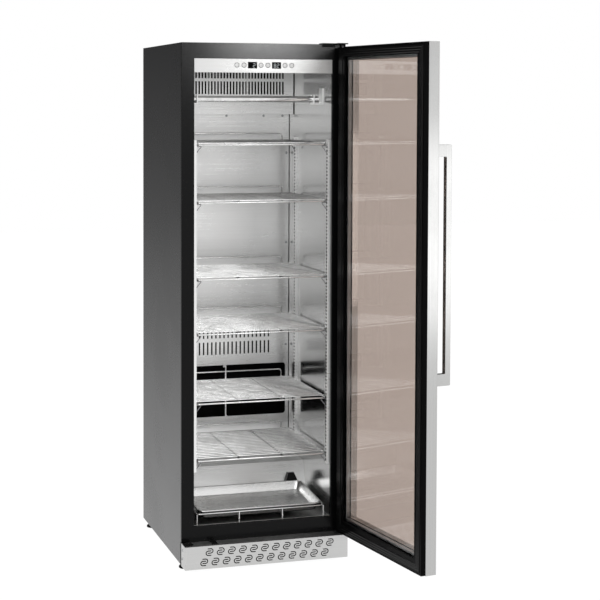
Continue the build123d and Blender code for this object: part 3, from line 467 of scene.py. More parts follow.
gasket_vinyl = moulded("gasket_vinyl", (0.003, 0.003, 0.0031), 0.16, strength=0.03, mirror=0.10)
nylon = moulded("nylon", (0.72, 0.72, 0.69), 0.45)
foam = moulded("foam", (0.78, 0.70, 0.48), 0.85, grain_scale=240.0, strength=0.6)
display_window = moulded("display_window", (0.0015, 0.0015, 0.002), 0.10, strength=0.01, mirror=0.05)
button_ring = moulded("button_ring", (0.10, 0.10, 0.10), 0.45, mirror=0.2)
button_face = moulded("button_face", (0.92, 0.92, 0.91), 0.40, mirror=0.3)


def lit_segment():
    """Pale light of a display's digits, slightly uneven."""
    material, tree, shader = new_material("lit_segment")
    waver = noise(tree, here(tree), 900.0)
    glow = blend_colours(tree, waver, [0.36, 0.39, 0.40, 1], [0.52, 0.55, 0.56, 1])
    feed(tree, shader.inputs["Emission Color"], glow)
    shader.inputs["Emission Strength"].default_value = 1.0
    shader.inputs["Base Color"].default_value = [0.3, 0.3, 0.3, 1]
    return material


digit_light = lit_segment()
print("moulded finishes made")

# %% [markdown]
# ## Rounded edges on the sheet-metal pieces
#
# A real folded or cut edge is never perfectly sharp, and the thin bright line along it is what
# makes sheet metal look real. The solids have sharp edges, so each piece that shows is copied, its
# flat faces are joined again into whole faces, and a small bevel rounds every corner. The copy
# then stands for the solid.

# %% Helpers that finish a solid
def show(obj):
    """Put an object in the scene."""
    bpy.context.scene.collection.objects.link(obj)
    return obj


def smooth_by_angle(mesh, degrees=35):
    """Shade a mesh smooth, but keep the edges that turn by more than an angle sharp."""
    mesh.polygons.foreach_set("use_smooth", [True] * len(mesh.polygons))
    mesh.set_sharp_from_angle(angle=math.radians(degrees))


def baked(obj, name=None):
    """Replace an object by a plain mesh of what it evaluates to."""
    bpy.context.view_layer.update()
    seen = obj.evaluated_get(bpy.context.evaluated_depsgraph_get())
    mesh = bpy.data.meshes.new_from_object(seen)
    mesh.transform(obj.matrix_world)
    name = name or obj.name
    bpy.data.objects.remove(obj)
    return show(bpy.data.objects.new(name, mesh))


def settle(obj, node, material):
    """The piece takes the body of the CAD node that it stands for and the given finish, and the node is hidden."""
    obj.data.materials.clear()
    obj.data.materials.append(material)
    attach(obj, BODY_OF[node])
    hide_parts(node)
    return obj


def joined_flats(node):
    """Copy of a node's mesh with its triangles joined into whole flat faces."""
    mesh = NODES[node].data.copy()
    work = bmesh.new()
    work.from_mesh(mesh)
    bmesh.ops.remove_doubles(work, verts=work.verts, dist=1e-6)
    bmesh.ops.dissolve_limit(work, angle_limit=math.radians(0.5), verts=work.verts, edges=work.edges)
    work.to_mesh(mesh)
    work.free()
    return mesh


def bevelled(obj, width, segments=2, degrees=30):
    """Round the edges that turn by more than an angle."""
    edge = obj.modifiers.new("edge", "BEVEL")
    edge.width = width
    edge.segments = segments
    edge.limit_method = "ANGLE"
    edge.angle_limit = math.radians(degrees)
    edge.harden_normals = True
    return baked(obj)


def softened(node, width, material, segments=2):
    """Rounded copy of a CAD node, which it replaces."""
    obj = show(bpy.data.objects.new(node + "_finished", joined_flats(node)))
    smooth_by_angle(obj.data)
    return settle(bevelled(obj, width, segments), node, material)


def add_box(work, low, high):
    """Box between two corners, added to a mesh that is being built."""
    size = Vector(high) - Vector(low)
    middle = (Vector(high) + Vector(low)) / 2
    bmesh.ops.create_cube(work, size=1.0, matrix=Matrix.Translation(middle) @ Matrix.Diagonal((*size, 1)))


def mesh_object(name, work):
    """Object made of the mesh that has been built."""
    mesh = bpy.data.meshes.new(name)
    work.to_mesh(mesh)
    work.free()
    return show(bpy.data.objects.new(name, mesh))


def box_mesh(name, boxes):
    """Object made of boxes, each given by two corners."""
    work = bmesh.new()
    for low, high in boxes:
        add_box(work, low, high)
    return mesh_object(name, work)


def thickened(obj, gauge, offset):
    """Give a sheet its thickness: both ways with an offset of 0, to one side with -1."""
    sheet = obj.modifiers.new("sheet", "SOLIDIFY")
    sheet.thickness = gauge
    sheet.offset = offset
    return baked(obj)


def copied(node, material):
    """Copy of a CAD node with its edges left sharp, for sheets with many slots."""
    obj = show(bpy.data.objects.new(node + "_finished", NODES[node].data.copy()))
    smooth_by_angle(obj.data)
    return settle(obj, node, material)


def repaint(material, *nodes):
    """Give CAD nodes that stay as they are their finish."""
    for node in nodes:
        NODES[node].data.materials.clear()
        NODES[node].data.materials.append(material)


def second_finish(obj, material, chosen):
    """Give another finish to the faces whose centre and normal pass a test."""
    obj.data.materials.append(material)
    index = len(obj.data.materials) - 1
    for face in obj.data.polygons:
        if chosen(face.center, face.normal):
            face.material_index = index


print("finishing helpers ready")

# %% [markdown]
# ## Casing, liner and control strip
#
# Each sheet gets a bevel about as large as its real edge: a third of a millimetre on thin sheet,
# more on the moulded or fabricated pieces. The grain follows each sheet's long side.

# %% Finish the casing and the liner
for node in ("side_panel_left", "side_panel_right", "top_panel"):
    softened(node, 0.0004, side_paint)
for node, width in (("face_frame", 0.0008), ("hinge_top", 0.0006), ("plinth_caps", 0.0005)):
    softened(node, width, frame_black)
softened("fascia", 0.00025, strip_steel)
softened("liner_floor", 0.00025, floor_steel)
for node in ("liner_left", "liner_right"):
    softened(node, 0.0003, liner_side_shade)
softened("rod_brackets", 0.0006, liner_across)
softened("hinge_bottom", 0.0006, zinc)
repaint(spangled_sheet, "back_panel", "base_pan")
# Painted shade: the front beam and the evaporator are painted matt black so that the plinth and the duct look dark
# inside.
repaint(painted_shade, "front_beam", "evaporator")
repaint(foam, "insulation")
repaint(black_enamel, "compressor")
repaint(aluminium, "condenser")
repaint(black_plastic, "evaporator_fan_frame", "evaporator_fan", "condenser_fan_frame", "condenser_fan",
        "power_inlet", "filter_left", "filter_right")
print("casing and liner finished")

# %% [markdown]
# ## Dark behind the slots
#
# The slots in the air panel and the duct cover look black, because the duct behind them is dark. If
# its inside were left as bright sheet, light would bounce about in it and the slots would turn grey.
# So the faces behind each sheet's front are painted a matt black, chosen by where they are: this is
# painted shade, standing in for the shade inside the duct. Two thin black strips of painted shade
# close the duct behind its slots and leave room for the fan between them.

# %% Darken the air duct
PANEL_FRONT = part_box("duct_cover")[1].y + 0.0001
SHEET = 0.001

# Painted shade on the faces behind the fronts of the air panel and the duct cover.
air_panel = copied("rear_panel", liner_across)
panel_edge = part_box("rear_panel")[1].x - SHEET / 2
second_finish(air_panel, painted_shade, lambda centre, normal: (
    centre.y > PANEL_FRONT + SHEET * 0.4 and abs(centre.x) < panel_edge))

duct = copied("duct_cover", liner_across)
duct_low, duct_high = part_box("duct_cover")
second_finish(duct, painted_shade, lambda centre, normal: (
    centre.y > duct_low.y + SHEET * 0.4 and abs(centre.x) < duct_high.x - SHEET / 2
    and centre.z > duct_low.z + SHEET / 2))

back_sheet = softened("liner_back", 0.00025, liner_across)
second_finish(back_sheet, painted_shade, lambda centre, normal: centre.y > PANEL_FRONT)
FAN_SPACE = 0.080
SHADE_STRIP_INSET = 0.002
SHADE_STRIP_DEPTHS = (duct_high.y - 0.0008, duct_high.y - 0.0003)
# Painted shade: two thin black strips inside the duct, close behind its slots.
shade_strips = [((x0, SHADE_STRIP_DEPTHS[0], duct_low.z + SHADE_STRIP_INSET),
            (x1, SHADE_STRIP_DEPTHS[1], duct_high.z - SHADE_STRIP_INSET))
           for x0, x1 in ((duct_low.x + SHADE_STRIP_INSET, -FAN_SPACE), (FAN_SPACE, duct_high.x - SHADE_STRIP_INSET))]
settle(box_mesh("duct_shade_strip", shade_strips), "duct_cover", painted_shade)
print("duct darkened from y", round(PANEL_FRONT, 4))

# %% Finish the moulded pieces and the display
softened("sensor_cover", 0.0012, frame_black, segments=3)
repaint(display_window, "display_board")
repaint(nylon, "hinge_bushes")
print("moulded pieces finished")

# %% [markdown]
# ## The door
#
# The door's steel face is brushed up and down, and its free edge shows as a pale strip with a
# bright line at the corner. Behind it are the black frame, the dark gasket and the double pane
# with its aluminium spacer. Bevels do for the frame; the gasket is drawn below as a profile
# carried round the door.

# %% Finish the door
softened("door_skin", 0.0006, door_steel)
softened("door_core", 0.0008, black_plastic)
softened("handle", 0.0007, door_steel)
softened("glass_spacer", 0.0004, spacer_bar)
repaint(tinted_glass, "glass_outer")
repaint(clear_glass, "glass_inner")
repaint(zinc, "handle_screws")
print("door finished")

# %% [markdown]
# ## Bent wire
#
# Shelves, clips and the tray's rack are wires, bent round a mandrel and welded. A curve with a
# round bevel is the natural way: each run of wire is one spline, a bend is a short arc between
# two straight runs, and each point carries the wire's own radius, so that thick and thin wires
# share one object. The curve is then turned into a mesh.

# %% Helpers for wire
def bend_points(before, corner, after, radius, steps=5):
    """Points of the arc that rounds one corner of a wire."""
    into = (corner - before).normalized()
    out = (after - corner).normalized()
    turn = into.angle(out)
    if turn < 0.01:
        return [corner]
    reach = radius * math.tan(turn / 2)
    start = corner - into * reach
    inward = (out - into * out.dot(into)).normalized()
    centre = start + inward * radius
    angles = [turn * i / steps for i in range(steps + 1)]
    return [centre - inward * radius * math.cos(a) + into * radius * math.sin(a) for a in angles]


def wire_path(points, radius, closed=False):
    """Centre line of a wire bent to that radius at each corner."""
    corners = [Vector(point) for point in points]
    count = len(corners)
    path = [] if closed else [corners[0]]
    for i in range(0 if closed else 1, count if closed else count - 1):
        path += bend_points(corners[i - 1], corners[i], corners[(i + 1) % count], radius)
    return path if closed else path + [corners[-1]]


def wire_mesh(name, runs):
    """One mesh of round wires. Each run is its path, its diameter and whether it closes."""
    curve = bpy.data.curves.new(name, "CURVE")
    curve.dimensions = "3D"
    curve.bevel_depth = 1.0
    curve.bevel_resolution = 4
    curve.use_fill_caps = True
    for path, diameter, closed in runs:
        spline = curve.splines.new("POLY")
        spline.points.add(len(path) - 1)
        for point, place in zip(spline.points, path):
            point.co = (*place, 1)
            point.radius = diameter / 2
        spline.use_cyclic_u = closed
    obj = baked(show(bpy.data.objects.new(name, curve)), name)
    smooth_by_angle(obj.data, 40)
    return obj


print("wire helpers ready")

# %% [markdown]
# ## The six shelves
#
# A shelf is a closed frame of 6 mm wire, two cross bars under the deck, a row of 5 mm deck wires
# lying on top, and a rail at the back that stops food from touching the wall. All sizes are read
# from the solid's own box, so that the wires seat on the same clips. The solid's wires are six-sided
# bars that lie on a flat, so a wire's centre is set by how far the corners stand out.

# %% Weld up the shelves
FRAME_WIRE = 0.006
DECK_WIRE = 0.005
DECK_PITCH = 0.025
CROSS_BAR_X = 0.080
RAIL_HALF = 0.206
RAIL_RISE = 0.025
BEND = 0.010
SOLID_CORNER = 0.55
FLAT_TO_CENTRE = SOLID_CORNER * math.sqrt(3) / 2


def shelf_runs(node):
    """All the wires of one shelf."""
    low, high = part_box(node)
    level = low.z + FRAME_WIRE * FLAT_TO_CENTRE
    overhang = high.x
    half = overhang - 0.0025
    front = low.y + FRAME_WIRE * SOLID_CORNER
    back = high.y - FRAME_WIRE * SOLID_CORNER
    corners = [(-half, front, level), (half, front, level), (half, back, level), (-half, back, level)]
    runs = [(wire_path(corners, BEND, closed=True), FRAME_WIRE, True)]
    for x in (-CROSS_BAR_X, CROSS_BAR_X):
        runs.append(([(x, front, level), (x, back, level)], FRAME_WIRE, False))
    deck = level + FRAME_WIRE / 2 + DECK_WIRE / 2
    wires = int((back - front - 0.001) / DECK_PITCH)
    for i in range(1, wires):
        y = front + i * DECK_PITCH
        runs.append(([(-overhang, y, deck), (overhang, y, deck)], DECK_WIRE, False))
    rail_top = deck + RAIL_RISE
    weld = level + 0.002
    rail = [(-RAIL_HALF, back, weld), (-RAIL_HALF, back, rail_top), (RAIL_HALF, back, rail_top),
            (RAIL_HALF, back, weld)]
    runs.append((wire_path(rail, BEND), DECK_WIRE, False))
    return runs


for number in range(1, 7):
    node = f"shelf_{number}"
    shelf = settle(wire_mesh(f"wire_{node}", shelf_runs(node)), node, bright_wire)
    shelf_low, shelf_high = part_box(node)
    # Painted shade: the cross bars under the deck take the dark copy of the wire.
    second_finish(shelf, cross_bar_shade_wire, lambda centre, normal: (
        abs(abs(centre.x) - CROSS_BAR_X) < FRAME_WIRE * 0.6 and centre.z < shelf_low.z + FRAME_WIRE * 1.1
        and shelf_low.y + BEND < centre.y < shelf_high.y - BEND))
    print(node, "level", round(shelf_low.z, 4))

# %% [markdown]
# ## Shelf standards and clips
#
# The standards are channels punched with a slot every 12.5 mm, so that a shelf can hang at any
# height. Their webs are grids of cells with every second middle cell left open, thickened to the
# sheet's gauge, and a black strip of painted shade close behind keeps the slots black. The clips are
# bent wire: a hook through a slot, an arm under the shelf and a strut back to the channel.

# %% Punch the standards
SLOT_PITCH = 0.0125
SLOT_SIZE = (0.0150, 0.0064)
FIRST_SLOT = 0.014
PLAIN_ENDS = 0.02
CHANNEL_WALL = 0.0015
STANDARD_WIDTH = 0.020
STANDARD_PROUD = 0.012


def join(objects, name):
    """Join several meshes into one."""
    work = bmesh.new()
    for obj in objects:
        part = obj.data.copy()
        part.transform(obj.matrix_world)
        work.from_mesh(part)
        bpy.data.objects.remove(obj)
    return mesh_object(name, work)


def slotted_web(x, y_lines, z_lines):
    """Sheet drawn as a grid of cells, three across, with every second middle cell left open."""
    work = bmesh.new()
    grid = [[work.verts.new((x, y, z)) for y in y_lines] for z in z_lines]
    for row in range(len(z_lines) - 1):
        for column in range(3):
            if column == 1 and row % 2 == 1:
                continue
            work.faces.new((grid[row][column], grid[row][column + 1], grid[row + 1][column + 1],
                            grid[row + 1][column]))
    return thickened(mesh_object("web", work), CHANNEL_WALL, 0)


def standard(side, y0, y1, low, high, inner, wall):
    """One slotted channel, web towards the middle of the cabinet."""
    middle = (y0 + y1) / 2
    count = int((high - low - PLAIN_ENDS) / SLOT_PITCH)
    half_w, half_h = SLOT_SIZE[0] / 2, SLOT_SIZE[1] / 2
    z_lines = [low]
    for i in range(count):
        z = low + FIRST_SLOT + i * SLOT_PITCH
        z_lines += [z - half_h, z + half_h]
    y_lines = (y0, middle - half_w, middle + half_w, y1)
    web = slotted_web(inner + side * CHANNEL_WALL / 2, y_lines, z_lines + [high])
    x0, x1 = sorted((inner + side * CHANNEL_WALL, wall))
    flanges = box_mesh("flanges", [((x0, y0, low), (x1, y0 + CHANNEL_WALL, high)),
                                   ((x0, y1 - CHANNEL_WALL, low), (x1, y1, high))])
    return [web, flanges]


def shade_strip(side, y0, y1, low, high, inner):
    """Black strip of painted shade in a channel, close behind its slots."""
    x0, x1 = sorted((inner + side * (CHANNEL_WALL + 0.0004), inner + side * (CHANNEL_WALL + 0.0012)))
    return ((x0, y0 + CHANNEL_WALL, low), (x1, y1 - CHANNEL_WALL, high))


standard_low, standard_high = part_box("shelf_standards")
pieces = []
shade_strips = []
for side in (-1, 1):
    for y0 in (standard_low.y, standard_high.y - STANDARD_WIDTH):
        inner = side * (standard_high.x - STANDARD_PROUD)
        ends = (side, y0, y0 + STANDARD_WIDTH, standard_low.z, standard_high.z, inner)
        pieces += standard(*ends, side * standard_high.x)
        shade_strips.append(shade_strip(*ends))
standards = settle(join(pieces, "slotted_standards"), "shelf_standards", liner_across)
settle(box_mesh("slot_shade_strip", shade_strips), "shelf_standards", painted_shade)
print("standards", len(standards.data.polygons), "faces")

# %% Bend the clips
CLIP_WIRE = 0.0030
CLIP_BEND = 0.0022
CLIP_REACH = 0.020
CLIP_DROP = 0.024
CLIP_HOOK = 0.0045
PEG_PLACE = 0.004
PEG_HEIGHT = 0.011


def clip_runs(side, y, level, inner):
    """One clip: from the slot along under the shelf, back down the strut to a lower slot."""
    top = level - FRAME_WIRE / 2 - CLIP_WIRE / 2
    hooked, peg_x = inner + side * CLIP_HOOK, inner - side * PEG_PLACE
    points = [(hooked, y, top + 0.001), (inner, y, top), (inner - side * CLIP_REACH, y, top),
              (inner - side * 0.001, y, top - CLIP_DROP), (hooked, y, top - CLIP_DROP)]
    peg = [(peg_x, y, top), (peg_x, y, top + PEG_HEIGHT)]
    return [(wire_path(points, CLIP_BEND), CLIP_WIRE, False), (peg, CLIP_WIRE, False)]


standard_middles = (standard_low.y + STANDARD_WIDTH / 2, standard_high.y - STANDARD_WIDTH / 2)
runs = []
for number in range(1, 7):
    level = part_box(f"shelf_{number}")[0].z + FRAME_WIRE * FLAT_TO_CENTRE
    for side in (-1, 1):
        for y in standard_middles:
            runs += clip_runs(side, y, level, side * (standard_high.x - STANDARD_PROUD))
settle(wire_mesh("bent_clips", runs), "shelf_clips", clip_wire)
print("clips", len(runs) // 2)

# %% [markdown]
# ## The bar between the filters
#
# The two filters share one opening in the air panel, and a narrow strip of the sheet stands between
# them. Its foot runs into the sheet in a round corner, which is drawn as an arc in a flat outline. A
# flat plate of any outline is a filled 2-D curve, whose extrusion gives the thickness.

# %% Cut the bar
def standing(y):
    """Matrix that stands a flat drawing up, facing the front at that depth."""
    return Matrix(((1, 0, 0, 0), (0, 0, -1, y), (0, 1, 0, 0), (0, 0, 0, 1)))


def flat_plate(name, outline, thickness, place):
    """Plate drawn in its own plane and then put in place."""
    curve = bpy.data.curves.new(name, "CURVE")
    curve.dimensions = "2D"
    curve.fill_mode = "BOTH"
    curve.extrude = thickness / 2
    spline = curve.splines.new("POLY")
    spline.points.add(len(outline) - 1)
    for point, (a, b) in zip(spline.points, outline):
        point.co = (a, b, 0, 1)
    spline.use_cyclic_u = True
    obj = show(bpy.data.objects.new(name, curve))
    obj.matrix_world = place
    return baked(obj, name)


BAR_X = (-0.0035, 0.0010)
BAR_Z = (0.4070, 0.6070)
BAR_CORNER = 0.012
arc = [(BAR_X[1] + BAR_CORNER * (1 - math.cos(a)), BAR_Z[0] + BAR_CORNER * (1 - math.sin(a)))
       for a in [math.pi / 2 * (1 - i / 6) for i in range(7)]]
outline = [(BAR_X[0], BAR_Z[0])] + arc + [(BAR_X[1], BAR_Z[1]), (BAR_X[0], BAR_Z[1])]
plate = flat_plate("filter_bar", outline, SHEET, standing(PANEL_FRONT + SHEET / 2))
settle(plate, "rear_panel", liner_across)
print("bar", len(outline), "points")

# %% [markdown]
# ## Hanging rod
#
# The rod is a polished tube with a slightly domed plug in each end. A lathe does it: a profile of
# radius and distance along the rod is turned round the rod's line.

# %% Turn the rod
def lathe(name, profile, place, steps=48):
    """Turn a profile of (radius, distance) round the local Z axis, then put it in place."""
    work = bmesh.new()
    rings = []
    for radius, distance in profile:
        if radius < 1e-6:
            rings.append([work.verts.new((0, 0, distance))])
            continue
        angles = [2 * math.pi * i / steps for i in range(steps)]
        rings.append([work.verts.new((radius * math.cos(a), radius * math.sin(a), distance))
                      for a in angles])
    for first, second in zip(rings, rings[1:]):
        for i in range(steps):
            corners = [first[i % len(first)], first[(i + 1) % len(first)], second[(i + 1) % len(second)],
                       second[i % len(second)]]
            corners = list(dict.fromkeys(corners))
            if len(corners) > 2:
                work.faces.new(corners)
    bmesh.ops.recalc_face_normals(work, faces=work.faces)
    turned = mesh_object(name, work)
    turned.data.transform(place)
    smooth_by_angle(turned.data, 50)
    return turned


low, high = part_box("hanging_rod")
radius, half = (high.z - low.z) / 2, high.x
DOME = ((0, 0.0), (0.55, 0.0004), (0.86, 0.0014), (0.97, 0.0030), (1, 0.0055))
end = [(radius * share, distance) for share, distance in DOME]
profile = [(r, -half + d) for r, d in end] + [(r, half - d) for r, d in reversed(end)]
middle = (low + high) / 2
rod = lathe("polished_rod", profile, Matrix.Translation(middle) @ Matrix.Rotation(math.pi / 2, 4, "Y"))
settle(rod, "hanging_rod", bright_wire)
print("rod", round(2 * half, 3), "long")

# %% [markdown]
# ## Drip tray and its rack
#
# The tray is drawn from one sheet: a rolled rim, sloping walls that blend into a flat floor, and
# generous corners. It is lofted from rounded rectangles, one for each step of its section, with
# close steps where it curves. It is drawn flat and then tipped back, as it sits in the cabinet. The
# rack is a loop of wire round the tray, two bars under its floor and legs down to the liner floor.

# %% Form the tray
def rounded_rectangle(half_x, half_y, radius, steps=8):
    """Corner arcs of a rectangle, anticlockwise."""
    points = []
    for quarter, (sx, sy) in enumerate(((1, 1), (-1, 1), (-1, -1), (1, -1))):
        cx, cy = sx * (half_x - radius), sy * (half_y - radius)
        for i in range(steps + 1):
            a = math.pi / 2 * (quarter + i / steps)
            points.append((cx + radius * math.cos(a), cy + radius * math.sin(a)))
    return points


TRAY_HALF = 0.229
TRAY_LENGTH = 0.262
TRAY_DEPTH = 0.032
TRAY_SHEET = 0.001
TRAY_CORNER = 0.026
TRAY_FRONT = (0, -0.303, 0.178)
TRAY_TIP = math.radians(4.8)
TILT = Matrix.Translation(TRAY_FRONT) @ Matrix.Rotation(TRAY_TIP, 4, "X")
RIM = [(0.0004, -0.0033), (0.0, -0.0012), (0.0006, 0.0004), (0.0022, 0.0012), (0.0045, 0.0014),
       (0.0066, 0.0008), (0.0080, -0.0006)]
FOOT = [(0.0168, -0.0262), (0.0178, -0.0290), (0.0198, -0.0304), (0.0240, -0.0309)]


def tray_rings(section):
    """Loops of points round the flat tray, one for each (inset, height) of its section."""
    for inset, z in section:
        loop = rounded_rectangle(TRAY_HALF - inset, TRAY_LENGTH / 2 - inset, TRAY_CORNER - inset * 0.6)
        yield [(x, y + TRAY_LENGTH / 2, z) for x, y in loop]


work = bmesh.new()
rings = [[work.verts.new(point) for point in loop] for loop in tray_rings(RIM + FOOT)]
for first, second in zip(rings, rings[1:]):
    for i in range(len(first)):
        work.faces.new((first[i], first[(i + 1) % len(first)], second[(i + 1) % len(first)], second[i]))
work.faces.new(rings[-1])
tray = thickened(mesh_object("drawn_tray", work), TRAY_SHEET, -1)
tray.data.transform(TILT)
smooth_by_angle(tray.data, 50)
settle(tray, "drip_tray", tray_steel)
# Painted shade: the faces turned down under the tray take the dark copy of its steel.
second_finish(tray, tray_underside_shade, lambda centre, normal: normal.z < -0.1 and normal.y < 0.2)
print("tray", [round(v, 3) for v in tray.dimensions])

# %% Bend the rack
RACK_WIRE = 0.005
RACK_HALF = 0.234
RACK_ENDS = (0.004, TRAY_LENGTH - 0.004)
LOOP_DROP = 0.011
LOOP_BEND = 0.012
BAR_DROP = TRAY_DEPTH + RACK_WIRE / 2


def tilted(x, y, z):
    """Place in the cabinet of a point of the flat tray."""
    return TILT @ Vector((x, y, z))


near, far = RACK_ENDS
corners = [tilted(x, y, -LOOP_DROP)
           for x, y in ((-RACK_HALF, near), (RACK_HALF, near), (RACK_HALF, far), (-RACK_HALF, far))]
runs = [(wire_path(corners, LOOP_BEND, closed=True), RACK_WIRE, True)]
for x in (-CROSS_BAR_X, CROSS_BAR_X):
    runs.append(([tilted(x, near - 0.003, -BAR_DROP), tilted(x, far, -BAR_DROP)], RACK_WIRE, False))
rack_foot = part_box("tray_rack")[0].z
for x in (-RACK_HALF, -CROSS_BAR_X, CROSS_BAR_X, RACK_HALF):
    for y in RACK_ENDS:
        top = tilted(x, y, -LOOP_DROP)
        runs.append(([top, Vector((top.x, top.y, rack_foot))], RACK_WIRE * 0.8, False))
settle(wire_mesh("wire_rack", runs), "tray_rack", bright_wire)
print("rack stands at", round(rack_foot, 4))

# %% [markdown]
# ## The plinth and its hooked vents
#
# The plinth's air vents are pairs of interlocking hooks cut in the steel, the second hook being
# the first turned half round. The folded plinth is a block hollowed from behind, and the hooks
# are cut through its front with a boolean, after which a fine bevel rounds every cut edge. Its inside
# is painted matt black as painted shade, and a black sheet of painted shade behind its lower fold
# closes the view from the hooks down to the floor.

# %% Draw a hook
HOOK_RADIUS = 0.0076
HOOK_STROKE = 0.0033
HOOK_STRAIGHT = 0.0098
HOOK_CENTRE = 0.00475
HOOK_PITCH = 0.0401
HOOK_ROWS = ((-0.2104, 0.0560), (-0.2293, 0.0213))
HOOKS_PER_ROW = 12


def hook_outline(cx, cz, turn, steps=12):
    """Outline of one hook-shaped slot about the vent's centre; turn is 1 or -1."""
    tip = HOOK_STROKE / 2
    outer, inner = HOOK_RADIUS + tip, HOOK_RADIUS - tip
    end, rise = HOOK_CENTRE - HOOK_STRAIGHT, HOOK_RADIUS / 2
    bend = [math.pi * (0.5 - i / steps) for i in range(steps + 1)]

    def arc(radius, angles):
        return [(HOOK_CENTRE + radius * math.cos(a), rise + radius * math.sin(a)) for a in angles]

    def round_end(z, count):
        return [(end - tip * math.sin(a * math.pi / 6), z - tip * math.cos(a * math.pi / 6))
                for a in range(count)]

    points = [(end, rise + outer), *arc(outer, bend), *round_end(rise - HOOK_RADIUS, 7),
              *arc(inner, reversed(bend)), *round_end(rise + HOOK_RADIUS, 6)]
    return [(cx + turn * x, cz + turn * z) for x, z in points]


print("hook", len(hook_outline(0, 0, 1)), "points")

# %% Fold the plinth
PLINTH_SHEET = 0.0015
PLINTH_LIP = 0.055
HINGE_SEAT = 0.0748
CLEAR = 0.01


def carve(body, cutter, name):
    """Cut one mesh out of another, exactly."""
    cut = body.modifiers.new("cut", "BOOLEAN")
    cut.operation = "DIFFERENCE"
    cut.solver = "EXACT"
    cut.object = cutter
    made = baked(body, name)
    bpy.data.objects.remove(cutter)
    return made


low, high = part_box("plinth_grille")
hinge_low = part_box("hinge_bottom")[0]
sheet = PLINTH_SHEET
back, top = high.y + CLEAR, high.z + CLEAR
cuts = {
    "plinth_shell": ((low.x + sheet, low.y + sheet, low.z + sheet), (high.x - sheet, back, high.z - sheet)),
    "plinth_open": ((low.x + sheet, low.y + PLINTH_LIP, low.z - CLEAR),
                    (high.x - sheet, back, low.z + CLEAR)),
    "plinth_seated": ((hinge_low.x - 0.002, hinge_low.y - 0.003, HINGE_SEAT), (high.x + CLEAR, back, top))}
plinth = box_mesh("plinth", [(low, high)])
for name, corners in cuts.items():
    plinth = carve(plinth, box_mesh("cutter", [corners]), name)
print("plinth folded,", len(plinth.data.polygons), "faces")

# %% Cut the hooks
SHADE_SHEET_DEPTHS = (0.0345, 0.105)
SHADE_SHEET_HEIGHTS = (-0.0022, -0.0012)
SHADE_SHEET_INSET = 0.003

cutters = [flat_plate("hook", hook_outline(first_x + i * HOOK_PITCH, z, turn), CLEAR, standing(low.y))
           for first_x, z in HOOK_ROWS for i in range(HOOKS_PER_ROW) for turn in (1, -1)]
cutter = join(cutters, "hooks")
work = bmesh.new()
work.from_mesh(cutter.data)
bmesh.ops.remove_doubles(work, verts=work.verts, dist=1e-7)
bmesh.ops.recalc_face_normals(work, faces=work.faces)
work.to_mesh(cutter.data)
work.free()
plinth = carve(plinth, cutter, "vented_plinth")
smooth_by_angle(plinth.data, 30)
plinth = settle(bevelled(plinth, 0.00035, degrees=40), "plinth_grille", plinth_steel)
# Painted shade: the plinth's inner faces are matt black.
second_finish(plinth, painted_shade, lambda centre, normal: (
    centre.y > low.y + sheet * 0.2 and abs(centre.x) < high.x - sheet / 2
    and low.z + sheet / 2 < centre.z < high.z - sheet / 2))
# Painted shade: a black sheet under the plinth hides the white floor seen through the hooks.
shade_sheet = ((low.x + SHADE_SHEET_INSET, low.y + SHADE_SHEET_DEPTHS[0], SHADE_SHEET_HEIGHTS[0]),
          (high.x - SHADE_SHEET_INSET, low.y + SHADE_SHEET_DEPTHS[1], SHADE_SHEET_HEIGHTS[1]))
settle(box_mesh("plinth_shade_sheet", [shade_sheet]), "plinth_grille", painted_shade)
print("plinth", len(plinth.data.polygons), "faces")

# %% [markdown]
# ## The gasket
#
# The gasket is a soft ribbed strip in a groove round the door, mitred at the corners. Its section
# is a list of insets and depths; each becomes a rectangular loop round the door, and neighbouring
# loops are joined by strips, which mitre by themselves at the corners. It is drawn as on a closed
# door and turned about the hinge with the rest.

# %% Carry the gasket's profile round the door
DOOR_TURN = math.radians(98.94)
hinge_joint = next(joint for joint in frame["joints"] if joint["name"] == "door_hinge")
hinge_place = Vector((hinge_joint["pos_m"][0], hinge_joint["pos_m"][1], 0))
OPEN_DOOR = (Matrix.Translation(hinge_place) @ Matrix.Rotation(DOOR_TURN, 4, "Z")
             @ Matrix.Translation(-hinge_place))


def framed_profile(name, half, low_z, high_z, section):
    """Closed section of (inset, y) carried round an upright rectangle, mitred at its corners."""
    work = bmesh.new()
    rings = []
    for inset, y in section:
        corners = [(-half + inset, y, low_z + inset), (half - inset, y, low_z + inset),
                   (half - inset, y, high_z - inset), (-half + inset, y, high_z - inset)]
        rings.append([work.verts.new(corner) for corner in corners])
    for first, second in zip(rings, rings[1:] + rings[:1]):
        for i in range(4):
            work.faces.new((first[i], first[(i + 1) % 4], second[(i + 1) % 4], second[i]))
    bmesh.ops.recalc_face_normals(work, faces=work.faces)
    return mesh_object(name, work)


GASKET_HALF = 0.287
GASKET_BACK = -0.328
GASKET_RISE = 0.0027
GASKET_RIBS = 3
GASKET_WIDE = 0.024
gasket_low, gasket_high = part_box("door_gasket")
section = [(0.0, GASKET_BACK)]
rib_width = GASKET_WIDE / GASKET_RIBS
for rib in range(GASKET_RIBS):
    for share in [i / 8 for i in range(1, 8)]:
        rise = GASKET_RISE * (0.25 + 0.75 * math.sin(share * math.pi) ** 0.6)
        section.append((rib * rib_width + share * rib_width, GASKET_BACK + rise))
section.append((GASKET_WIDE, GASKET_BACK))
gasket = framed_profile("ribbed_gasket", GASKET_HALF, gasket_low.z, gasket_high.z, section)
gasket.data.transform(OPEN_DOOR)
smooth_by_angle(gasket.data, 60)
settle(gasket, "door_gasket", gasket_vinyl)
print("gasket", len(section), "points in its section")

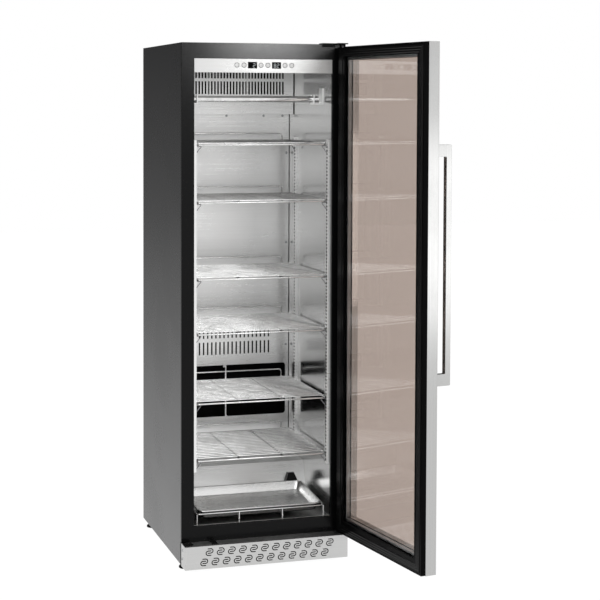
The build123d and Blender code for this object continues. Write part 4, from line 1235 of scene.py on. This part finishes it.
# %% [markdown]
# ## The pale fold round the pane
#
# Behind the pane the steel face is folded back, and the fold is painted a flat pale white: a painted
# reflection of the bright studio that the folded steel mirrors. It is seen through the tinted pane,
# so it has to be as pale as what is behind the door. The faces are chosen as on a closed door: those
# that turn towards the pane's middle. The fold on the hinge side is left polished, because it
# mirrors the bright front of the studio.

# %% Paint the pale fold
EDGE_BAND = 0.028
CLOSE_DOOR = OPEN_DOOR.inverted()
door_skin = bpy.data.objects["door_skin_finished"]
polished_fold = brushed_steel("polished_fold", "Z", (0.60, 0.60, 0.595), 0.08, 0.05, relief=0.01)
# Painted reflection: a pale white that stands in for the bright studio mirrored in the fold.
pale_reflection_paint = moulded("pale_reflection_paint", (0.95, 0.95, 0.94), 0.35, mirror=0.5)
FOLD_HALF = GASKET_HALF + 0.010 - EDGE_BAND


def turned_to_pane(centre, normal):
    """Whether a face lies within the door's edge band and turns towards the pane's middle."""
    closed = CLOSE_DOOR @ centre
    facing = CLOSE_DOOR.to_3x3() @ normal
    return (abs(facing.y) < 0.3 and abs(closed.x) < FOLD_HALF
            and gasket_low.z + EDGE_BAND < closed.z < gasket_high.z - EDGE_BAND)


def on_hinge_side(centre, normal):
    """Whether such a face is the fold next to the hinges."""
    return turned_to_pane(centre, normal) and (CLOSE_DOOR.to_3x3() @ normal).x < -0.7


second_finish(door_skin, pale_reflection_paint, turned_to_pane)
second_finish(door_skin, polished_fold, on_hinge_side)
print("painted_reflection faces", sum(face.material_index > 0 for face in door_skin.data.polygons))

# %% [markdown]
# ## Screws and feet
#
# The panel screws have low domed heads with a cross recess. One head is turned on the lathe and
# the cross is cut once; the others are copies. The feet are turned too.

# %% Turn the screws
SCREW_HEAD = 0.0046
SCREW_RISE = 0.0021
SCREW_RIM = 0.0006
SHANK = (0.0021, 0.006)
CROSS_ARM = (0.0022, 0.0005)
CROSS_FLOOR = 0.0010


def screw_mesh():
    """Pan-head screw standing on the origin along +Z, its cross recess cut."""
    dome = [math.radians(18 * i) for i in range(1, 5)]
    head = [(0, -SHANK[1]), (SHANK[0], -SHANK[1]), (SHANK[0], 0.0), (SCREW_HEAD, 0.0),
            (SCREW_HEAD, SCREW_RIM)]
    head += [(SCREW_HEAD * math.cos(a), SCREW_RIM + (SCREW_RISE - SCREW_RIM) * math.sin(a)) for a in dome]
    body = lathe("head", head + [(0, SCREW_RISE)], Matrix.Identity(4), steps=28)
    for long, short in (CROSS_ARM, CROSS_ARM[::-1]):
        bar = box_mesh("bar", [((-long, -short, CROSS_FLOOR), (long, short, 0.004))])
        body = carve(body, bar, "pan_head")
    mesh = body.data.copy()
    bpy.data.objects.remove(body)
    return mesh


def towards(direction):
    """Rotation that stands +Z along a direction."""
    return Vector((0, 0, 1)).rotation_difference(Vector(direction)).to_matrix().to_4x4()


side_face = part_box("plinth_grille")[1].x
PANEL_SCREWS = [(x, 1.568) for x in (-0.224, -0.148, 0, 0.148, 0.224)]
PANEL_SCREWS += [(x, z) for x in (-0.240, 0.240) for z in (1.425, 1.077, 0.678)]
PLINTH_SCREW_Y = -0.3416
PLINTH_SCREW_Z = (0.0267, 0.0567)
screw = screw_mesh()
places = [Matrix.Translation((x, PANEL_FRONT, z)) @ towards((0, -1, 0))
          @ Matrix.Rotation(count * 0.9, 4, "Z") for count, (x, z) in enumerate(PANEL_SCREWS)]
places += [Matrix.Translation((side * side_face, PLINTH_SCREW_Y, z)) @ towards((side, 0, 0))
           for side in (-1, 1) for z in PLINTH_SCREW_Z]
heads = []
for place in places:
    one = show(bpy.data.objects.new("screw", screw.copy()))
    one.matrix_world = place
    heads.append(one)
bpy.context.view_layer.update()
screw_set = join(heads, "pan_head_screws")
smooth_by_angle(screw_set.data, 40)
settle(screw_set, "sheet_screws", zinc)
print("screws", len(places), "with", len(screw_set.data.polygons), "faces")

# %% Turn the feet
FOOT_X, FOOT_Y = 0.272, 0.275
feet_low, feet_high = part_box("levelling_feet")
z0 = feet_low.z
profile = [(0, z0), (0.0205, z0), (0.022, z0 + 0.0012), (0.022, z0 + 0.0060), (0.0205, z0 + 0.0076),
           (0.0135, z0 + 0.0080), (0.0115, z0 + 0.0088), (0.0115, z0 + 0.0130), (0.0098, z0 + 0.0139),
           (0.0048, z0 + 0.0140), (0.0048, feet_high.z - 0.001), (0.0038, feet_high.z), (0, feet_high.z)]
feet = [lathe("foot", profile, Matrix.Translation((x, y, 0)))
        for x in (-FOOT_X, FOOT_X) for y in (-FOOT_Y, FOOT_Y)]
settle(join(feet, "turned_feet"), "levelling_feet", black_plastic)
print("feet", len(feet))

# %% [markdown]
# ## The push buttons
#
# Each button is a pale disc in a fine grey ring, set into the strip. It is turned on the lathe, with
# the ring as a shallow groove, and the groove's faces get the darker finish.

# %% Turn the buttons
BUTTON_RING = (0.0070, 0.0101)
BUTTON_SECTION = [(0, 0.0125), (0.0022, 0.0125), (0.0022, 0.0030), (0.0100, 0.0030), (0.0100, 0.00155),
                  (0.0086, 0.00155), (0.0086, 0.0002), (0.0084, 0.0), (0.0072, 0.0002), (0.0069, -0.0001),
                  (0.0066, -0.0002), (0, -0.0002)]
TO_FRONT = Matrix.Rotation(-math.pi / 2, 4, "X")
for number in range(1, 7):
    node = f"button_{number}"
    low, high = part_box(node)
    centre = Vector(((low.x + high.x) / 2, low.y + 0.0002, (low.z + high.z) / 2))
    turned = lathe(f"turned_{node}", BUTTON_SECTION, Matrix.Translation(centre) @ TO_FRONT)
    settle(turned, node, button_face)
    second_finish(turned, button_ring, lambda place, normal: (
        BUTTON_RING[0] < math.hypot(place.x - centre.x, place.z - centre.z) < BUTTON_RING[1]))
print("button face at y", round(centre.y, 4))

# %% [markdown]
# ## Digits on the displays
#
# Each display is a black window with seven-segment digits. A digit is up to seven small bars with
# pointed ends; which bars are lit is written as a string of letters.

# %% Light the digits
DIGIT_HEIGHT = 0.0125
DIGIT_WIDTH = 0.0066
BAR = 0.0011
BAR_THICK = 0.0003
LIT = {"2": "abged", "8": "abcdefg"}


def bar(work, start, end, y):
    """One segment: a flat bar with pointed ends, standing just proud of the window."""
    a, b = Vector(start), Vector(end)
    along = (b - a).normalized()
    across = Vector((-along.y, along.x)) * BAR / 2
    gap = along * BAR * 0.15
    a, b = a + gap, b - gap
    tip = along * BAR / 2
    outline = [a, a + tip + across, b - tip + across, b, b - tip - across, a + tip - across]
    face = work.faces.new([work.verts.new((p.x, y, p.y)) for p in outline])
    lifted = bmesh.ops.extrude_face_region(work, geom=[face])["geom"]
    corners = [item for item in lifted if isinstance(item, bmesh.types.BMVert)]
    bmesh.ops.translate(work, vec=(0, BAR_THICK, 0), verts=corners)


def draw_digit(work, text, x, z, y):
    """The lit bars of one digit about a centre."""
    w, h = DIGIT_WIDTH / 2, DIGIT_HEIGHT / 2
    ends = {"a": ((-w, h), (w, h)), "b": ((w, h), (w, 0)), "c": ((w, 0), (w, -h)), "d": ((-w, -h), (w, -h)),
            "e": ((-w, 0), (-w, -h)), "f": ((-w, h), (-w, 0)), "g": ((-w, 0), (w, 0))}
    for letter in LIT[text]:
        (x0, z0), (x1, z1) = ends[letter]
        bar(work, (x + x0, z + z0), (x + x1, z + z1), y)


DISPLAY_X = (-0.0426, 0.0450)
DISPLAY_Z = 1.7484
DISPLAY_FACE = -0.3248
work = bmesh.new()
for text, x in (("2", DISPLAY_X[0] + 0.006), ("8", DISPLAY_X[1] - 0.0055), ("2", DISPLAY_X[1] + 0.0055)):
    draw_digit(work, text, x, DISPLAY_Z, DISPLAY_FACE)
bmesh.ops.recalc_face_normals(work, faces=work.faces)
digits = mesh_object("display_digits", work)
digits.data.materials.append(digit_light)
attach(digits, "cabinet")
print("digits lit")

# %% [markdown]
# ## Floor, background and light
#
# The photograph has a pure white background and almost no shadow. The floor is a pale sheet that
# shows as white to the camera and to reflections, mixed with a real pale surface that still takes
# the cabinet's soft shadow. The glossy side panels show that the studio behind the cabinet gets
# darker with distance, so for reflections the floor dims towards the back and so does the sky there.
# Two large lamps light everything. Four small ones each light a few pieces only, as a studio lamp
# with flags round it does, to give the rail, the strip, the shelves and the door their highlights.

# %% Helpers for the studio
def shown_directly(tree):
    """Masks for rays off shiny surfaces, and for all rays that show the background."""
    path = add(tree, "ShaderNodeLightPath").outputs
    mirrored = maths(tree, "SUBTRACT", path["Is Glossy Ray"], path["Is Transmission Ray"])
    through = maths(tree, "MAXIMUM", path["Is Glossy Ray"], path["Is Transmission Ray"])
    return maths(tree, "MAXIMUM", mirrored, 0.0), maths(tree, "MAXIMUM", path["Is Camera Ray"], through)


print("studio helpers ready")

# %% Floor
FLOOR_Z = feet_low.z
FLOOR_HALF = 14
FLOOR_WHITE = 1.10
MIRRORED_WHITE = 1.04
DIMMING = 0.2
WHITE_SHARE = 0.88
floor = box_mesh("floor", [((-FLOOR_HALF, -FLOOR_HALF, FLOOR_Z - 0.02), (FLOOR_HALF, FLOOR_HALF, FLOOR_Z))])
material = bpy.data.materials.new("pale_floor")
material.use_nodes = True
tree = material.node_tree
tree.nodes.clear()
glossy, direct = shown_directly(tree)
away = add(tree, "ShaderNodeSeparateXYZ", {0: here(tree)}).outputs["Y"]
reach = maths(tree, "MAXIMUM", away, 0.0)
dimmed = maths(tree, "DIVIDE", MIRRORED_WHITE, maths(tree, "MULTIPLY_ADD", reach, DIMMING, 1.0))
strength = maths(tree, "ADD", maths(tree, "MULTIPLY", glossy, dimmed),
                 maths(tree, "MULTIPLY", maths(tree, "SUBTRACT", 1.0, glossy), FLOOR_WHITE))
pale = add(tree, "ShaderNodeBsdfDiffuse", {"Color": (0.86, 0.86, 0.86, 1)}).outputs[0]
white = add(tree, "ShaderNodeEmission", {"Color": (1, 1, 1, 1), "Strength": strength}).outputs[0]
share = maths(tree, "MULTIPLY", direct, WHITE_SHARE)
mixed = add(tree, "ShaderNodeMixShader", {0: share, 1: pale, 2: white}).outputs[0]
add(tree, "ShaderNodeOutputMaterial", {"Surface": mixed})
floor.data.materials.append(material)
print("floor at", round(FLOOR_Z, 4))

# %% World and lamps
SKY_FOR_SHADING = 0.62
world = bpy.data.worlds.new("white_studio")
bpy.context.scene.world = world
world.use_nodes = True
tree = world.node_tree
tree.nodes.clear()
glossy, direct = shown_directly(tree)
direction = add(tree, "ShaderNodeTexCoord").outputs["Generated"]
towards_sky = add(tree, "ShaderNodeSeparateXYZ", {0: direction}).outputs
behind = remap(tree, towards_sky["Y"], 0.2, 0.6, 0.0, 1.0)
dark_wall = remap(tree, towards_sky["Z"], -0.13, 0.04, 0.31, 0.085)
shown = remap(tree, maths(tree, "MULTIPLY", glossy, behind), 0.0, 1.0, 1.0, dark_wall)
strength = maths(tree, "ADD", maths(tree, "MULTIPLY", direct, shown),
                 maths(tree, "MULTIPLY", maths(tree, "SUBTRACT", 1.0, direct), SKY_FOR_SHADING))
sky = add(tree, "ShaderNodeBackground", {"Color": (1, 1, 1, 1), "Strength": strength}).outputs[0]
add(tree, "ShaderNodeOutputWorld", {"Surface": sky})


def soft_lamp(name, place, target, size, power):
    """Square lamp turned towards a target."""
    light = bpy.data.lights.new(name, "AREA")
    light.size = size
    light.energy = power
    lamp = show(bpy.data.objects.new(name, light))
    lamp.location = place
    lamp.rotation_euler = (Vector(target) - Vector(place)).to_track_quat("-Z", "Y").to_euler()
    return lamp


def lit_alone(lamp, *names):
    """Let a lamp light only these pieces."""
    group = bpy.data.collections.new(lamp.name + "_pieces")
    for name in names:
        group.objects.link(bpy.data.objects[name])
    lamp.light_linking.receiver_collection = group


buttons = [f"turned_button_{number}" for number in range(1, 7)]
shelves = [f"wire_shelf_{number}" for number in range(1, 7)]
soft_lamp("key_lamp", (-2.4, -3.6, 2.8), target=(0, 0, 0.9), size=2.2, power=36)
soft_lamp("fill_lamp", (3.3, -2.1, 3.0), target=(0.2, 0, 0.9), size=2.3, power=13)
rail_lamp = soft_lamp("rail_lamp", (1.18, -4.4, 2.15), target=(0, -0.3, 1.75), size=0.5, power=40)
strip_lamp = soft_lamp("strip_lamp", (1.75, -4.3, 2.05), target=(0, -0.3, 1.75), size=1.2, power=15)
shelf_lamp = soft_lamp("shelf_lamp", (0.9, -4.6, 2.4), target=(0, 0, 1.2), size=0.9, power=12)
door_lamp = soft_lamp("door_lamp", (3.03, -3.94, 0.88), target=(0.43, -0.9, 1.2), size=1.1, power=4.2)
lit_alone(rail_lamp, "face_frame_finished")
lit_alone(strip_lamp, "fascia_finished", *buttons)
lit_alone(shelf_lamp, *shelves)
lit_alone(door_lamp, "door_skin_finished", "handle_finished")
print("lamps placed")
